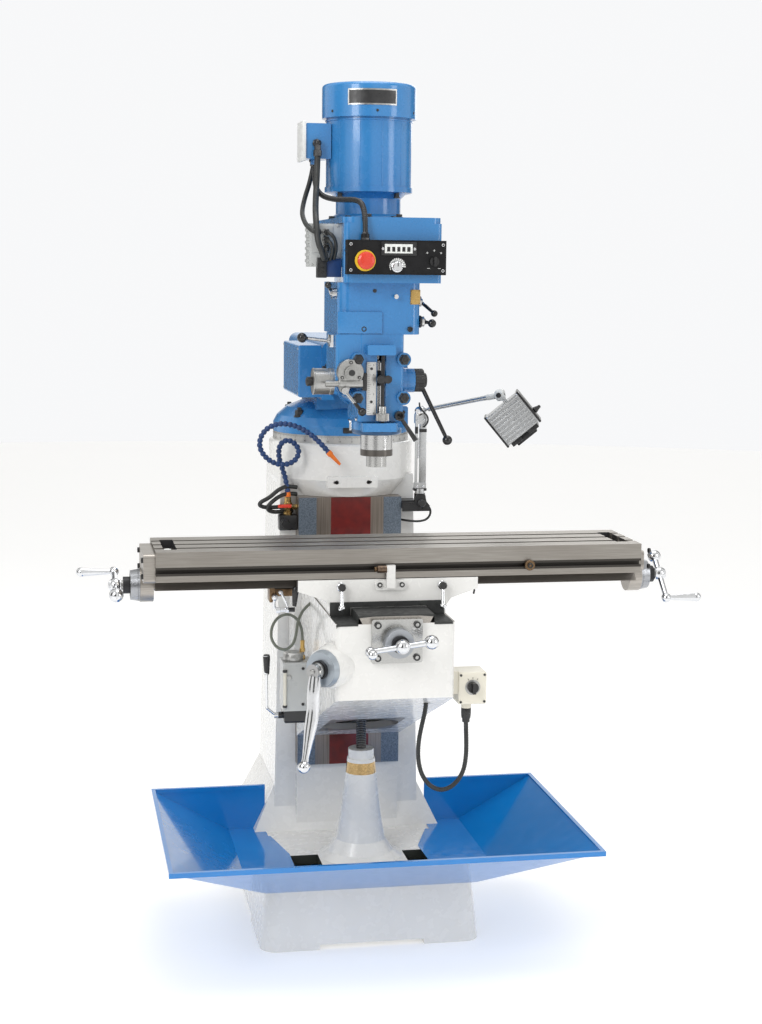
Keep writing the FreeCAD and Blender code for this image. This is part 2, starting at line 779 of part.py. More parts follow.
def table_cranks():
    left, right = table_ends()
    y = D.table_axis
    height = D.table_screw_height
    pairs = []
    for x, away, arm in ((left - 96, LEFT, (0, 1, 0.27)),
                         (right + 96, RIGHT, (0, -0.75, -0.66))):
        crank = ball_crank((x, y, height), away, arm, 84, 98)
        core = rod(D.table_screw_radius, (x - 20, y, height), 20, RIGHT)
        if away.x > 0:
            pairs.append(less(crank, core))
        else:
            pairs.append(less(crank, rod(D.table_screw_radius, (x, y, height), 20, RIGHT)))
    return node("table_cranks", group(*pairs))


# ------------------------------------------------------------ turret and ram

def turret():
    top = D.turret_top - D.turret_bottom
    profile = [(0, 0), (D.turret_radius, 0), (D.turret_radius, 26), (188, 48), (160, 72),
               (120, 88), (84, top), (0, top)]
    dome = turned(profile, (0, D.turret_axis, D.turret_bottom))
    spigot = rod(60, (0, D.turret_axis, 1300), 70)
    bed = block((-95, 95), (D.turret_axis - 150, D.turret_axis + 150), (1440, 1473))
    dovetail = prism("xz", mirrored_outline([(56, 1472), (70, 1497)]), D.turret_axis - 150,
                     D.turret_axis + 150)
    return node("turret", fused(dome, spigot, bed, dovetail))


def ram():
    gap = D.running_gap
    half = D.ram_width / 2
    beam = rounded(block((-half, half), (D.ram_front, D.ram_rear), (D.ram_bottom, D.ram_top)),
                   26, lambda edge: runs_along(BACK)(edge) and edge.BoundBox.ZMin > 1600)
    groove = prism("xz", mirrored_outline([(56 + gap * 2, 1472), (70 + gap * 2, 1497 + gap)]),
                   D.ram_front - 1, D.ram_rear + 1)
    tongue = fused(rod(62, (-60, D.nod_axis, D.tilt_height), 120, RIGHT),
                   block((-60, 60), (D.nod_axis, D.ram_front + 10), (1505, 1620)))
    bore = rod(22 + gap, (-70, D.nod_axis, D.tilt_height), 140, RIGHT)
    core = block((-70, 70), (-50, D.ram_rear - 30), (1522, 1615))
    cover = less(rounded(block((-160, -half), (-80, 240), (1482, 1628)), 6,
                         lambda edge: edge.BoundBox.XMax < -150),
                 block((-157, -half - 3), (-77, 237), (1485, 1625)))
    return node("ram", group(less(fused(less(beam, groove, core), tongue), bore), cover))


def electrical_cabinet():
    """The spindle drive's enclosure on the head's left side, with its cable glands."""
    box = prism("xy", [(-182, -436), (-98.5, -436), (-91, -366), (-182, -366)], 1846, 1957)
    hollow = block((-179, -112), (-433, -369), (1849, 1954))
    louvres = [block((-185, -182), (-426, -376), (z, z + 7)) for z in range(1858, 1946, 16)]
    glands = [rod(8.5, (x, -436, z), 14, FRONT) for x, z in ((-140, 1935), (-140, 1915),
                                                            (-140, 1895), (-161, 1935))]
    shell = less(less(box, hollow), NODES["belt_housing"])
    return node("electrical_cabinet", group(shell, *louvres, *glands))


def ram_adapter():
    """The knuckle between ram and head: two cheeks on a pin and a round clamp face."""
    height = D.tilt_height
    cheeks = []
    for x in (-88, 60.4):
        cheek = rod(62, (x, D.nod_axis, height), 27.6, RIGHT)
        arm = block((x, x + 27.6), (D.head_rear + D.free_gap + 10, D.nod_axis), (1505, 1617))
        cheeks += [cheek, arm]
    disc = rod(D.adapter_radius, (0, D.head_rear + D.free_gap, height), 40, BACK)
    pin = rod(22, (-96, D.nod_axis, height), 192, RIGHT)
    caps = [rod(30, (x, D.nod_axis, height), 8, RIGHT) for x in (-96, 88)]
    return node("ram_adapter", fused(disc, pin, *cheeks, *caps))


# ------------------------------------------------------------------ the head

def quill_housing():
    gap = D.running_gap
    axis = D.spindle_axis
    front = D.head_front
    main = rounded(block((-61, 59), (front, D.head_rear), (1448, D.head_seam)), 9,
                   runs_along(UP))
    upper = rounded(block((-120, 56), (front + 1, D.head_rear - 1), (1545, D.head_seam)), 9,
                    runs_along(UP))
    barrel = rod(60, (0, axis, 1411), 60)
    collar = rounded(rod(65, (0, axis, 1411), 36), 6, lambda edge: True)
    flange = rod(D.adapter_radius, (0, D.head_rear - 30, D.tilt_height), 30, BACK)
    boss = rod(32, (50, axis, 1552), 47, RIGHT)
    ears = [rod(18, (x, front + 150, z), 164, FRONT) for x in (-64, 57) for z in (1510, 1610)]
    lug = rounded(block((50, 77), (axis - 34, axis + 40), (1430, 1486)), 6, runs_along(BACK))
    tab = rounded(block((-43, 31), (front - 34, front + 10), (1622, 1648)), 4,
                  runs_along(BACK))
    ledge = rounded(block((-54, 38), (front - 34, front + 10), (1424, 1446)), 8,
                    runs_along(UP))
    bore = rod(D.quill_radius + gap, (0, axis, 1400), 300)
    slot = block((-12, 12), (front - 1, axis), (1470, 1625))
    pinion_bore = rod(10 + gap, (40, axis, 1552), 90, RIGHT)
    rod_holes = rod(5, (0, front - 18, 1420), 240)
    body = fused(main, upper, barrel, collar, flange, boss, lug, tab, ledge, *ears)
    return node("quill_housing", less(body, bore, slot, pinion_bore, rod_holes))


def head_bolts():
    """The clamp bolts of the head and the cover screws, as a group."""
    bolts = []
    for x in (-64, 57):
        for z in (1510, 1610):
            bolts.append(rod(11, (x, D.head_front - 14, z), 14, FRONT))
    for x in (-48, 74):
        bolts.append(rod(7, (x, D.head_front + 2, 1688), 6, FRONT))
    return node("head_bolts", group(*bolts))


def gear_housing():
    body = rounded(block((-114, 104), (D.head_front + 2, from_spindle(210)),
                         (D.head_seam, D.gear_top)), 30, runs_along(UP))
    bore = rod(46, (0, D.spindle_axis, D.head_seam - 1), 140)
    core = block((-92, 82), (D.head_front + 22, from_spindle(190)),
                 (D.head_seam + 12, D.gear_top - 12))
    return node("gear_housing", less(body, bore, core))


def belt_housing():
    front = from_spindle(-110)
    back = from_spindle(340)
    walls = rounded(prism("xy", [(-110, front), (146, front), (146, back), (-62, back)],
                          D.gear_top, D.belt_top - 15), 14, runs_along(UP))
    lid = rounded(block((-110, 146), (front, back), (D.belt_top - 15, D.belt_top)), 30,
                  runs_along(UP))
    inner = prism("xy", [(-103, front + 12), (134, front + 12), (134, back - 12),
                         (-54, back - 12)], D.gear_top + 10, D.belt_top - 12)
    passage = rod(46, (0, D.spindle_axis, D.gear_top - 1), 12)
    shaft_hole = rod(20, (D.motor_offset, D.motor_axis, D.belt_top - 20), 30)
    return node("belt_housing", less(fused(walls, lid), inner, passage, shaft_hole))


def motor():
    x = D.motor_offset
    y = D.motor_axis
    neck = rod(88, (x, y, D.belt_top), 80)
    flange = rod(D.motor_radius, (x, y, 2046), 14)
    frame = rod(D.motor_radius - 3, (x, y, 2052), 196)
    cap = rounded(rod(D.motor_cap_radius, (x, y, 2241), D.motor_top - 2241), 10,
                  lambda edge: edge.BoundBox.ZMin > 2300)
    bore = rod(16, (x, y, D.belt_top - 1), 180)
    core = rod(96, (x, y, 2066), 236)
    box = rounded(block((-168, -100), (y - 45, y + 45), (2132, 2225)), 5, runs_along(BACK))
    cover = rounded(block((-176, -168), (y - 50, y + 50), (2127, 2230)), 3, runs_along(RIGHT))
    gland = rod(11, (-140, y - 15, 2118), 14)
    shell = less(fused(neck, flange, frame, cap), bore, core)
    terminal_box = less(box, rod(D.motor_radius - 3, (x, y, 2100), 150))
    return node("motor", group(shell, terminal_box, cover, gland))


MOTOR_CONDUIT = [(-140, -230, 2118), (-140, -230, 2084), (-139, -256, 2052), (-130, -304, 2032),
                 (-108, -356, 2022), (-84, -408, 2020), (-68, -464, 2018), (-60, -520, 2008),
                 (-58, -556, 1974), (-58, -556, 1930)]


def motor_conduit():
    """The conduit from the motor's terminal box to the top of the control panel."""
    return node("motor_conduit", plain(tube_shape("motor_conduit", MOTOR_CONDUIT, 7)))


def control_panel():
    front = from_spindle(-138)
    case = rounded(block((-107, 151), (front, from_spindle(-110)), (1828, 1915)), 4,
                   runs_along(UP))
    plate = block((-103, 147), (front - 2, front), (1832, 1911))
    screws = [rod(4, (x, front - 2, z), 2, FRONT) for x in (-97, 141) for z in (1839, 1904)]
    display = block((-8, 66), (front - 5, front - 2), (1880, 1904))
    gland = rod(11, (-58, from_spindle(-126), 1915), 15)
    button_ring = less(rod(25, (-60, front - 2, 1863), 3, FRONT),
                       rod(17, (-60, front, 1863), 8, FRONT))
    sleeve = rod(14 + D.running_gap, (-60, front - 10, 1863), 30, BACK)
    return node("control_panel", group(less(fused(case, plate), sleeve), display, gland,
                                       button_ring, *screws))


def emergency_stop():
    front = from_spindle(-140)
    stem = rod(14, (-60, front + 10, 1863), 20, FRONT)
    mushroom = taper(20, 17, (-60, front - 9, 1863), 12, FRONT)
    return node("emergency_stop", fused(stem, mushroom))


def speed_knob():
    front = from_spindle(-140) - D.free_gap
    return node("speed_knob", fused(taper(12, 10, (22, front, 1849), 14, FRONT),
                                    block((21, 23), (front - 15, front - 2), (1851, 1859))))


def selector_switch():
    front = from_spindle(-140) - D.free_gap
    return node("selector_switch", fused(rod(12, (118, front, 1862), 8, FRONT),
                                         block((115, 121), (front - 18, front - 6), (1850, 1874))))


def motor_pulley():
    x = D.motor_offset
    y = D.motor_axis
    hub = rod(14, (x, y, 1830), 240)
    rims = [taper(a, b, (x, y, z), 9) for z, a, b in ((1880, 52, 44), (1889, 44, 52))]
    return node("motor_pulley", fused(hub, *rims))


def spindle_pulley():
    y = D.spindle_axis
    hub = rod(24, (0, y, 1740), 194)
    rims = [taper(a, b, (0, y, z), 9) for z, a, b in ((1880, 84, 76), (1889, 76, 84))]
    bore = rod(14 + D.running_gap, (0, y, 1730), 220)
    return node("spindle_pulley", less(fused(hub, *rims), bore))


def drive_belt():
    """The V-belt: two straight runs and two wraps around the pulleys."""
    offset = float(D.motor_offset)
    distance = float(D.motor_axis) - float(D.spindle_axis)
    large = Vector(0, float(D.spindle_axis), 0)
    small = large + BACK * math.hypot(offset, distance)
    turn = Rotation(UP, -math.degrees(math.atan2(offset, distance)))

    def loop(extra):
        radius_small = 47.3 + extra
        radius_large = 79.3 + extra
        span = (small - large).Length
        lean = math.asin((radius_large - radius_small) / span)
        side = Vector(math.cos(lean), math.sin(lean), 0)
        mirror = Vector(-math.cos(lean), math.sin(lean), 0)
        a = large + side * radius_large
        b = small + side * radius_small
        c = small + mirror * radius_small
        d = large + mirror * radius_large
        edges = [Part.LineSegment(a, b).toShape(),
                 Part.Arc(b, small + BACK * radius_small, c).toShape(),
                 Part.LineSegment(c, d).toShape(),
                 Part.Arc(d, large + FRONT * radius_large, a).toShape()]
        return Part.Face(Part.Wire(edges))

    band = loop(7).cut(loop(0)).extrude(Vector(0, 0, 6))
    belt = plain(band)
    belt.Placement = Placement(Vector(0, 0, 1886), turn, large)
    return node("drive_belt", belt)


def quill():
    axis = D.spindle_axis
    sleeve = less(rod(D.quill_radius, (0, axis, D.quill_bottom), D.quill_top - D.quill_bottom),
                  rod(24 + D.running_gap, (0, axis, D.quill_bottom - 1), 300))
    link = block((-8, 8), (D.head_front - 30, axis - 36), (1552, 1568))
    clearance = rod(5.6, (0, D.head_front - 18, 1540), 40)
    knob = rod(10, (0, D.head_front - 30, 1560), 12, FRONT)
    return node("quill", fused(less(link, rod(30, (0, axis, 1540), 40), clearance), sleeve,
                               less(knob, clearance)))


def spindle():
    """The spindle with an R8 collet socket in its nose."""
    axis = D.spindle_axis
    nose = D.nose_height
    socket = turned([(12.05, 122), (12.05, 24), (15.9, 0), (27, 0), (27, 29.6), (24, 29.6),
                     (24, 122)], (0, axis, nose))
    shaft = turned([(6, 122), (24, 122), (24, 280), (14, 284), (14, 566), (6, 566)],
                   (0, axis, nose))
    return node("spindle", group(socket, shaft))


def quill_handle():
    """The fine-fingered quill feed handle: pinion shaft, hub and a lever with a ball."""
    axis = D.spindle_axis
    x = 97 + D.free_gap
    shaft = rod(10, (50, axis, 1552), 60, RIGHT)
    hub = rod(29, (x, axis, 1552), 25, RIGHT)
    boss = rod(18, (x + 25, axis, 1552), 8, RIGHT)
    root = Vector(float(x) + 14, float(axis), 1552)
    end = Vector(178, float(axis) - 60, 1398)
    lever = between(6, 5, root, end)
    return node("quill_handle", fused(shaft, hub, boss, lever, ball(13, end, end - root)))


def depth_stop():
    """The threaded stop rod and the depth scale beside it."""
    stop_rod = rod(5, (0, D.head_front - 18, 1422), 226)
    scale = block((-40, -15), (D.head_front - 4, D.head_front), (1466, 1603))
    pins = [rod(3, (-27.5, D.head_front - 4, z), 1, FRONT) for z in (1500, 1586)]
    return node("depth_stop", group(stop_rod, scale, *pins))


def depth_stop_nut():
    y = D.head_front - 18
    body = fused(rod(16.5, (0, y, 1451), 20), rod(8.5, (0, y, 1471), 18))
    return node("depth_stop_nut", less(body, rod(5 + D.running_gap, (0, y, 1440), 60)))


def feed_gearbox():
    """The power-feed housing on the head's left front, and its trip cylinder."""
    front = D.head_front
    face = rod(33, (-85, front + 10, 1577), 34, FRONT)
    barrel = rod(12, (-116, front - 16, 1548), 62, RIGHT)
    tongue = rod(13, (-101, front - 8, 1536), 16, FRONT)
    cylinder = rod(34, (-120, from_spindle(-12), 1550), 54, LEFT)
    stem = rod(8, (-150, front - 16, 1548), 40, RIGHT)
    screws = [rod(4, (-85 + 26 * math.cos(a), front - 24, 1577 + 26 * math.sin(a)), 3, FRONT)
              for a in (math.radians(v) for v in (90, 210, 330))]
    shell = less(fused(face, barrel, tongue, stem), NODES["quill_housing"],
                 rod(12, (-64, front, 1610), 40, FRONT))
    return node("feed_gearbox", group(shell, cylinder, *screws))


def feed_direction_knob():
    front = D.head_front - 24 - D.free_gap
    return node("feed_direction_knob", fused(rod(17, (-85, front, 1577), 10, FRONT),
                                             rod(12, (-85, front - 10, 1577), 6, FRONT)))


def feed_trip_lever():
    y = D.head_front - 24 - D.free_gap
    hub = rod(9, (-101, y, 1530), 10, FRONT)
    root = Vector(-101, float(y) - 5, 1530)
    end = Vector(-58, float(y) - 17, 1477)
    return node("feed_trip_lever", fused(hub, between(4, 5, root, end),
                                         ball(11, end, end - root)))


def quill_lock():
    """The ratchet lever that clamps the quill."""
    y = D.head_front - D.free_gap
    hub = rod(12, (46, y, 1464), 20, FRONT)
    root = Vector(46, float(y) - 13, 1464)
    end = Vector(88, float(y) - 24, 1400)
    return node("quill_lock", fused(hub, between(4.5, 6.5, root, end)))


def side_lever(label, x, y, z, away, tilt_y, tilt_z, length, knob):
    """A shift lever on the head's side: round boss, bent stem and ball."""
    boss = rod(14, (x, y, z), 12, away)
    start = (x + away.x * 12, y, z)
    end = (x + away.x * length, y + tilt_y, z + tilt_z)
    stem = between(5, 4, start, end)
    heading = Vector(away.x * (length - 12), tilt_y, tilt_z)
    return node(label, fused(boss, rod(8, start, 4, away), stem, ball(knob, end, heading, BACK)))


def head_levers():
    gap = D.free_gap
    side_lever("feed_rate_lever", -120 - gap, from_spindle(-20), 1656, LEFT, -10, 8, 84, 13)
    side_lever("back_gear_lever", 104 + gap, from_spindle(-30), 1707, RIGHT, -16, -4, 31, 11)
    side_lever("belt_tension_lever", 104 + gap, from_spindle(10), 1758, RIGHT, -32, -30, 42, 9)
    side_lever("brake_lever", -114 - gap, from_spindle(-20), 1778, LEFT, -34, 22, 26, 9)


# ------------------------------------------------------- lamp and coolant line

def lamp_bracket():
    """The lamp's bracket, bolted on the column's right shoulder."""
    y = -20
    foot = block((150.5, 196), (y - 4, D.column_shoulder + 10), (1156, 1178))
    arm = block((150.5, 222), (y - 18, y + 20), (1156, 1174))
    socket = rod(16, (205, y, 1168), 30)
    bore = rod(8 + D.running_gap, (205, y, 1168), 40)
    return node("lamp_bracket", less(fused(foot, arm, socket), bore, NODES["column_casting"]))


def lamp_lower_arm():
    y = -20
    pin = rod(8, (205, y, 1169), 40)
    base = rod(14, (205, y, 1198.4), 14)
    rods = [block(span, (y - 4, y + 4), (1210, 1412)) for span in ((190, 197), (203, 222))]
    yokes = [rounded(block((188, 222), (y - 9, y + 9), span), 4, runs_along(BACK))
             for span in ((1208, 1230), (1400, 1431))]
    knuckle = rod(13, LAMP_ELBOW - LAMP_HINGE * 12, 24, LAMP_HINGE)
    gap = rod(16, LAMP_ELBOW - LAMP_HINGE * 4.4, 8.8, LAMP_HINGE)
    return node("lamp_lower_arm", less(fused(pin, base, knuckle, *rods, *yokes), gap))


LAMP_ELBOW = Vector(205, -20, 1438)
LAMP_WRIST = Vector(412, -130, 1491)
LAMP_HINGE = Vector(110, 207, 0).normalize()


def lamp_upper_arm():
    tab = rod(12, LAMP_ELBOW - LAMP_HINGE * 4, 8, LAMP_HINGE)
    heading = (LAMP_WRIST - LAMP_ELBOW).normalize()
    bar = between(7, 7.5, LAMP_ELBOW + heading * 24, LAMP_WRIST - heading * 12)
    bridge = between(3.6, 3.6, LAMP_ELBOW + heading * 6, LAMP_ELBOW + heading * 24)
    joint = ball(14, LAMP_WRIST, heading)
    return node("lamp_upper_arm", fused(tab, bridge, bar, joint))


def lamp_head():
    """A square ribbed work light; its window faces down and to the left."""
    tilt = Rotation(UP, -15).multiply(Rotation(BACK, 50))
    centre = LAMP_WRIST + tilt.multVec(Vector(74, 0, -14))

    def local(thing):
        at = Placement(centre, tilt)
        thing.Placement = at.multiply(thing.Placement)
        return thing

    box = local(block((-50, 50), (-55, 55), (-52, 52)))
    caps = [local(rounded(block((-53, 53), (-58, 58), span), 8, runs_along(UP)))
            for span in ((-60, -51), (51, 60))]
    ribs = [local(block((x, x + 4), (-58, 58), (-52, 52))) for x in range(-48, 48, 13)]
    window = local(block((-45, 45), (-50, 50), (-61, -53)))
    root = centre + tilt.multVec(Vector(-49, 0, 14))
    stem = between(6, 6, root, LAMP_WRIST + (root - LAMP_WRIST).normalize() * 14.6)
    shell = less(fused(box, *caps, *ribs, stem), window)
    lens = local(block((-44.5, 44.5), (-49.5, 49.5), (-58, -54)))
    return node("lamp_head", group(shell, lens))


def coolant_line():
    """The coolant tap's body, its segmented hose and its nozzle."""
    body = less(block((-202, -150.5), (-12, D.column_shoulder), (1094, 1142)),
                NODES["column_casting"])
    riser = rod(9, (-177, 6, 1142), 46)
    elbow = rod(12, (-177, 6, 1188), 14)
    path = [(-177, 6, 1202), (-182, 4, 1236), (-194, 0, 1272), (-206, -8, 1306),
            (-206, -18, 1340), (-188, -28, 1358), (-164, -36, 1350), (-150, -42, 1326),
            (-162, -48, 1300), (-190, -52, 1288), (-222, -56, 1292), (-250, -60, 1310),
            (-268, -64, 1338), (-266, -68, 1370), (-246, -71, 1396), (-216, -74, 1408),
            (-182, -77, 1406), (-150, -80, 1394), (-120, -84, 1374), (-94, -90, 1350),
            (-74, -97, 1326)]
    hose = plain(tube_shape("coolant hose", path, 7.5))
    nozzle = between(7, 3.5, (-74, -97, 1326), (-42, -106, 1292))
    return node("coolant_line", group(fused(body, riser, elbow), hose, nozzle))


def coolant_tap():
    stem = rod(5, (-177, -12.4, 1166), 6, FRONT)
    handle = block((-206, -172), (-24, -18), (1162, 1170))
    return node("coolant_tap", fused(stem, handle))


# --------------------------------------------------------------- build and save

for make in (column_casting, chip_tray, screw_pedestal, graduated_ring, elevating_screw,
             knee_casting, cross_screw_bracket, switch_box, switch_knob, switch_cable, oil_pump,
             oil_pump_lever, knee_crank, cross_screw, cross_crank, saddle_casting):
    make()
table_lock("table_lock_left", -124)
table_lock("table_lock_right", 140)
for make in (table_casting, table_end_brackets, table_stop_dogs, table_screw, table_dials,
             table_cranks, turret, ram, ram_adapter, quill_housing, head_bolts, gear_housing,
             belt_housing, electrical_cabinet, motor, motor_conduit, control_panel,
             emergency_stop, speed_knob, selector_switch, motor_pulley, spindle_pulley,
             drive_belt, quill, spindle, quill_handle, depth_stop, depth_stop_nut, feed_gearbox,
             feed_direction_knob, feed_trip_lever, quill_lock, head_levers, lamp_bracket,
             lamp_lower_arm, lamp_upper_arm, lamp_head, coolant_line, coolant_tap):
    make()

doc.recompute()
failed = [thing.Label for thing in doc.Objects
          if "Invalid" in thing.State or "Error" in thing.State]
if failed:
    raise SystemExit(f"failed: {failed}")
for label, thing in NODES.items():
    if thing.Shape.isNull() or not thing.Shape.isValid():
        raise SystemExit(f"{label} has no valid shape")

os.makedirs("parts", exist_ok=True)
for label, thing in NODES.items():
    thing.Shape.exportStep(f"parts/{label}.step")
print(len(NODES), "sub-parts written")
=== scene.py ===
import math
import bmesh
import bpy
from mathutils import Matrix, Vector


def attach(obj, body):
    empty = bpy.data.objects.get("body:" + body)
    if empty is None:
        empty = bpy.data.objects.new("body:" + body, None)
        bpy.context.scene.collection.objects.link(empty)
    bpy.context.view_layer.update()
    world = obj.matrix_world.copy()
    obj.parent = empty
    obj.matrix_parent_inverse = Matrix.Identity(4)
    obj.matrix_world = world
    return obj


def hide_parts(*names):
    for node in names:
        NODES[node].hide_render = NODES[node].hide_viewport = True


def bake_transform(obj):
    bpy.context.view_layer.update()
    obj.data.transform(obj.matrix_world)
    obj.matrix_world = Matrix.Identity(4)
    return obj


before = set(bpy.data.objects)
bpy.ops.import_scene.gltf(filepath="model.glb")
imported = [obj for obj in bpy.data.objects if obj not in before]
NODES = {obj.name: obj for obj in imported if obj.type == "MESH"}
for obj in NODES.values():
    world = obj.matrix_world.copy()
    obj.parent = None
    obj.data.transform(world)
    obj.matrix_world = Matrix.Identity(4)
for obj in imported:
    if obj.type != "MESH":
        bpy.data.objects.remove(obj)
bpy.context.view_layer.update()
MM = 0.001
RIGHT, BACK, UP = Vector((1, 0, 0)), Vector((0, 1, 0)), Vector((0, 0, 1))
FRONT = -BACK

# Places in the row frame, in millimetres: two vertical axes, then centres and directions.
TURRET_AXIS, MOTOR_AXIS = Vector((0, 156, 0)), Vector((10, -215, 0))
KNEE_CRANK, CRANK_AXIS = Vector((-163, -703, 848)), Vector((-1, -1, 0)).normalized()
FEED_HUB, FEED_ROLL = Vector((-85, -492, 1577)), Vector((-124, -442, 1550))
STOP_BUTTON, SPEED_KNOB = (-60, -570, 1863), Vector((22, -570, 1849))
PINION, COOLANT_VALVE = Vector((50, -430, 1552)), Vector((-177, 6, 1138))
TABLE_ENDS = (Vector((-594, -495, 1031)), -RIGHT), (Vector((676, -495, 1031)), RIGHT)


def placed(name, data):
    """A new object in the scene."""
    thing = bpy.data.objects.new(name, data)
    bpy.context.scene.collection.objects.link(thing)
    return thing


# ------------------------------------------------------------------- camera

def aim(thing, place, target):
    thing.location = place
    thing.rotation_euler = (Vector(target) - Vector(place)).to_track_quat("-Z", "Y").to_euler()


def add_camera():
    yaw, pitch, roll = 0.187, 0.1356, 0.0108
    ahead = Vector((math.sin(yaw) * math.cos(pitch), math.cos(yaw) * math.cos(pitch),
                    -math.sin(pitch)))
    across = Vector((math.cos(yaw), -math.sin(yaw), 0))
    above = across.cross(ahead)
    x_axis = across * math.cos(roll) + above * math.sin(roll)
    y_axis = above * math.cos(roll) - across * math.sin(roll)
    lens = bpy.data.cameras.new("camera")
    lens.lens = 62.65
    lens.sensor_width = 36
    lens.clip_end = 60
    camera = placed("camera", lens)
    columns = Matrix((x_axis, y_axis, -ahead)).transposed().to_4x4()
    camera.matrix_world = Matrix.Translation((-0.8594, -5.0462, 1.8426)) @ columns
    bpy.context.scene.camera = camera


add_camera()


# ---------------------------------------------------------------- materials

class Graph:
    """The shader nodes of one tree, made and linked through short calls."""

    def __init__(self, tree):
        self.tree = tree

    def make(self, kind, **settings):
        node = self.tree.nodes.new(kind)
        for key, value in settings.items():
            setattr(node, key, value)
        return node

    def set(self, socket, value):
        if isinstance(value, bpy.types.NodeSocket):
            self.tree.links.new(value, socket)
        elif isinstance(value, tuple) and len(value) == 3 and socket.type == "RGBA":
            socket.default_value = (*value, 1)
        else:
            socket.default_value = value

    def math(self, operation, a, b=0.0, c=0.0):
        node = self.make("ShaderNodeMath", operation=operation)
        for socket, value in zip(node.inputs, (a, b, c)):
            self.set(socket, value)
        return node.outputs[0]

    def spread(self, factor, low, high, start=0.3, end=0.7, curve="LINEAR"):
        node = self.make("ShaderNodeMapRange", interpolation_type=curve)
        for socket, value in zip(node.inputs, (factor, start, end, low, high)):
            self.set(socket, value)
        return node.outputs[0]

    def mixed(self, factor, a, b):
        colour = isinstance(a, tuple) or getattr(a, "type", "") == "RGBA"
        node = self.make("ShaderNodeMix", data_type="RGBA" if colour else "FLOAT")
        pair = (6, 7) if colour else (2, 3)
        self.set(node.inputs[0], factor)
        self.set(node.inputs[pair[0]], a)
        self.set(node.inputs[pair[1]], b)
        return node.outputs[2 if colour else 0]


class Finish(Graph):
    """A procedural material: colour, metal, roughness and relief, laid over each other."""

    def __init__(self, name, colour, rough, metal=0.0, coat=0.0, specular=0.5):
        self.material = bpy.data.materials.new(name)
        self.material.use_nodes = True
        super().__init__(self.material.node_tree)
        self.shader = self.tree.nodes["Principled BSDF"]
        self.shader.inputs["Coat Weight"].default_value = coat
        self.shader.inputs["Coat Roughness"].default_value = 0.06
        self.shader.inputs["Specular IOR Level"].default_value = specular
        self.place = self.make("ShaderNodeTexCoord").outputs["Object"]
        self.colour, self.rough, self.metal = colour, rough, metal
        self.relief = None

    def spot(self, stretch):
        node = self.make("ShaderNodeVectorMath", operation="MULTIPLY")
        self.set(node.inputs[0], self.place)
        node.inputs[1].default_value = stretch
        return node.outputs[0]

    def noise(self, scale, detail=3.0, stretch=(1, 1, 1)):
        node = self.make("ShaderNodeTexNoise")
        self.set(node.inputs["Vector"], self.spot(stretch))
        node.inputs["Scale"].default_value = scale
        node.inputs["Detail"].default_value = detail
        return node.outputs["Fac"]

    def mottle(self, light, dark, *grain):
        """Two colours mixed by noise; grain is its scale, detail and stretch."""
        return self.mixed(self.spread(self.noise(*grain), 0.0, 1.0), light, dark)

    def rings(self, axis, pitch):
        """A thread or groove pattern along one axis, as a height from 0 to 1."""
        node = self.make("ShaderNodeTexWave", bands_direction=axis)
        self.set(node.inputs["Vector"], self.place)
        node.inputs["Scale"].default_value = 0.3142 / pitch
        return node.outputs["Fac"]

    def zone(self, low, high):
        """1 inside a box of the row frame, given in millimetres, and 0 outside it."""
        split = self.make("ShaderNodeSeparateXYZ")
        self.set(split.inputs[0], self.place)
        inside = None
        for socket, a, b in zip(split.outputs, low, high):
            test = self.math("COMPARE", socket, (a + b) / 2 * MM, (b - a) / 2 * MM)
            inside = test if inside is None else self.math("MULTIPLY", inside, test)
        return inside

    def slab(self, origin, direction, low, high):
        """1 between two planes across a direction, at distances from origin in millimetres."""
        node = self.make("ShaderNodeVectorMath", operation="DOT_PRODUCT")
        self.set(node.inputs[0], self.place)
        node.inputs[1].default_value = direction
        start = Vector(origin).dot(Vector(direction))
        return self.math("COMPARE", node.outputs["Value"], (start + (low + high) / 2) * MM,
                         (high - low) / 2 * MM)

    def over(self, mask, colour, rough, metal=0.0):
        self.colour = self.mixed(mask, self.colour, colour)
        self.rough = self.mixed(mask, self.rough, rough)
        self.metal = self.mixed(mask, self.metal, metal)

    def scraped(self, low, high):
        """Hand-scraped way surface: overlapping half-moon flakes in light and dark grey."""
        flakes = self.make("ShaderNodeTexVoronoi")
        self.set(flakes.inputs["Vector"], self.spot((1, 0.2, 0.7)))
        flakes.inputs["Scale"].default_value = 620.0
        split = self.make("ShaderNodeSeparateColor")
        self.set(split.inputs[0], flakes.outputs["Color"])
        tone = self.spread(split.outputs[0], 0.0, 1.0, 0.2, 0.8)
        self.over(self.zone(low, high), self.mixed(tone, (0.20, 0.24, 0.29), (0.10, 0.13, 0.17)),
                  self.mixed(tone, 0.34, 0.46), 0.6)

    def bump(self, height, distance, strength=1.0):
        node = self.make("ShaderNodeBump")
        node.inputs["Strength"].default_value = strength
        node.inputs["Distance"].default_value = distance
        self.set(node.inputs["Height"], height)
        if self.relief is not None:
            self.set(node.inputs["Normal"], self.relief)
        self.relief = node.outputs[0]

    def done(self, *patches):
        """Lays patches on and links the shader up.

        A patch is two corners in millimetres, a colour or a list for mottle, a roughness and
        a metal share.
        """
        for low, high, colour, *rest in patches:
            if isinstance(colour, list):
                colour = self.mottle(*colour)
            self.over(self.zone(low, high), colour, *rest)
        self.set(self.shader.inputs["Base Color"], self.colour)
        self.set(self.shader.inputs["Roughness"], self.rough)
        self.set(self.shader.inputs["Metallic"], self.metal)
        if self.relief is not None:
            self.set(self.shader.inputs["Normal"], self.relief)
        return self.material


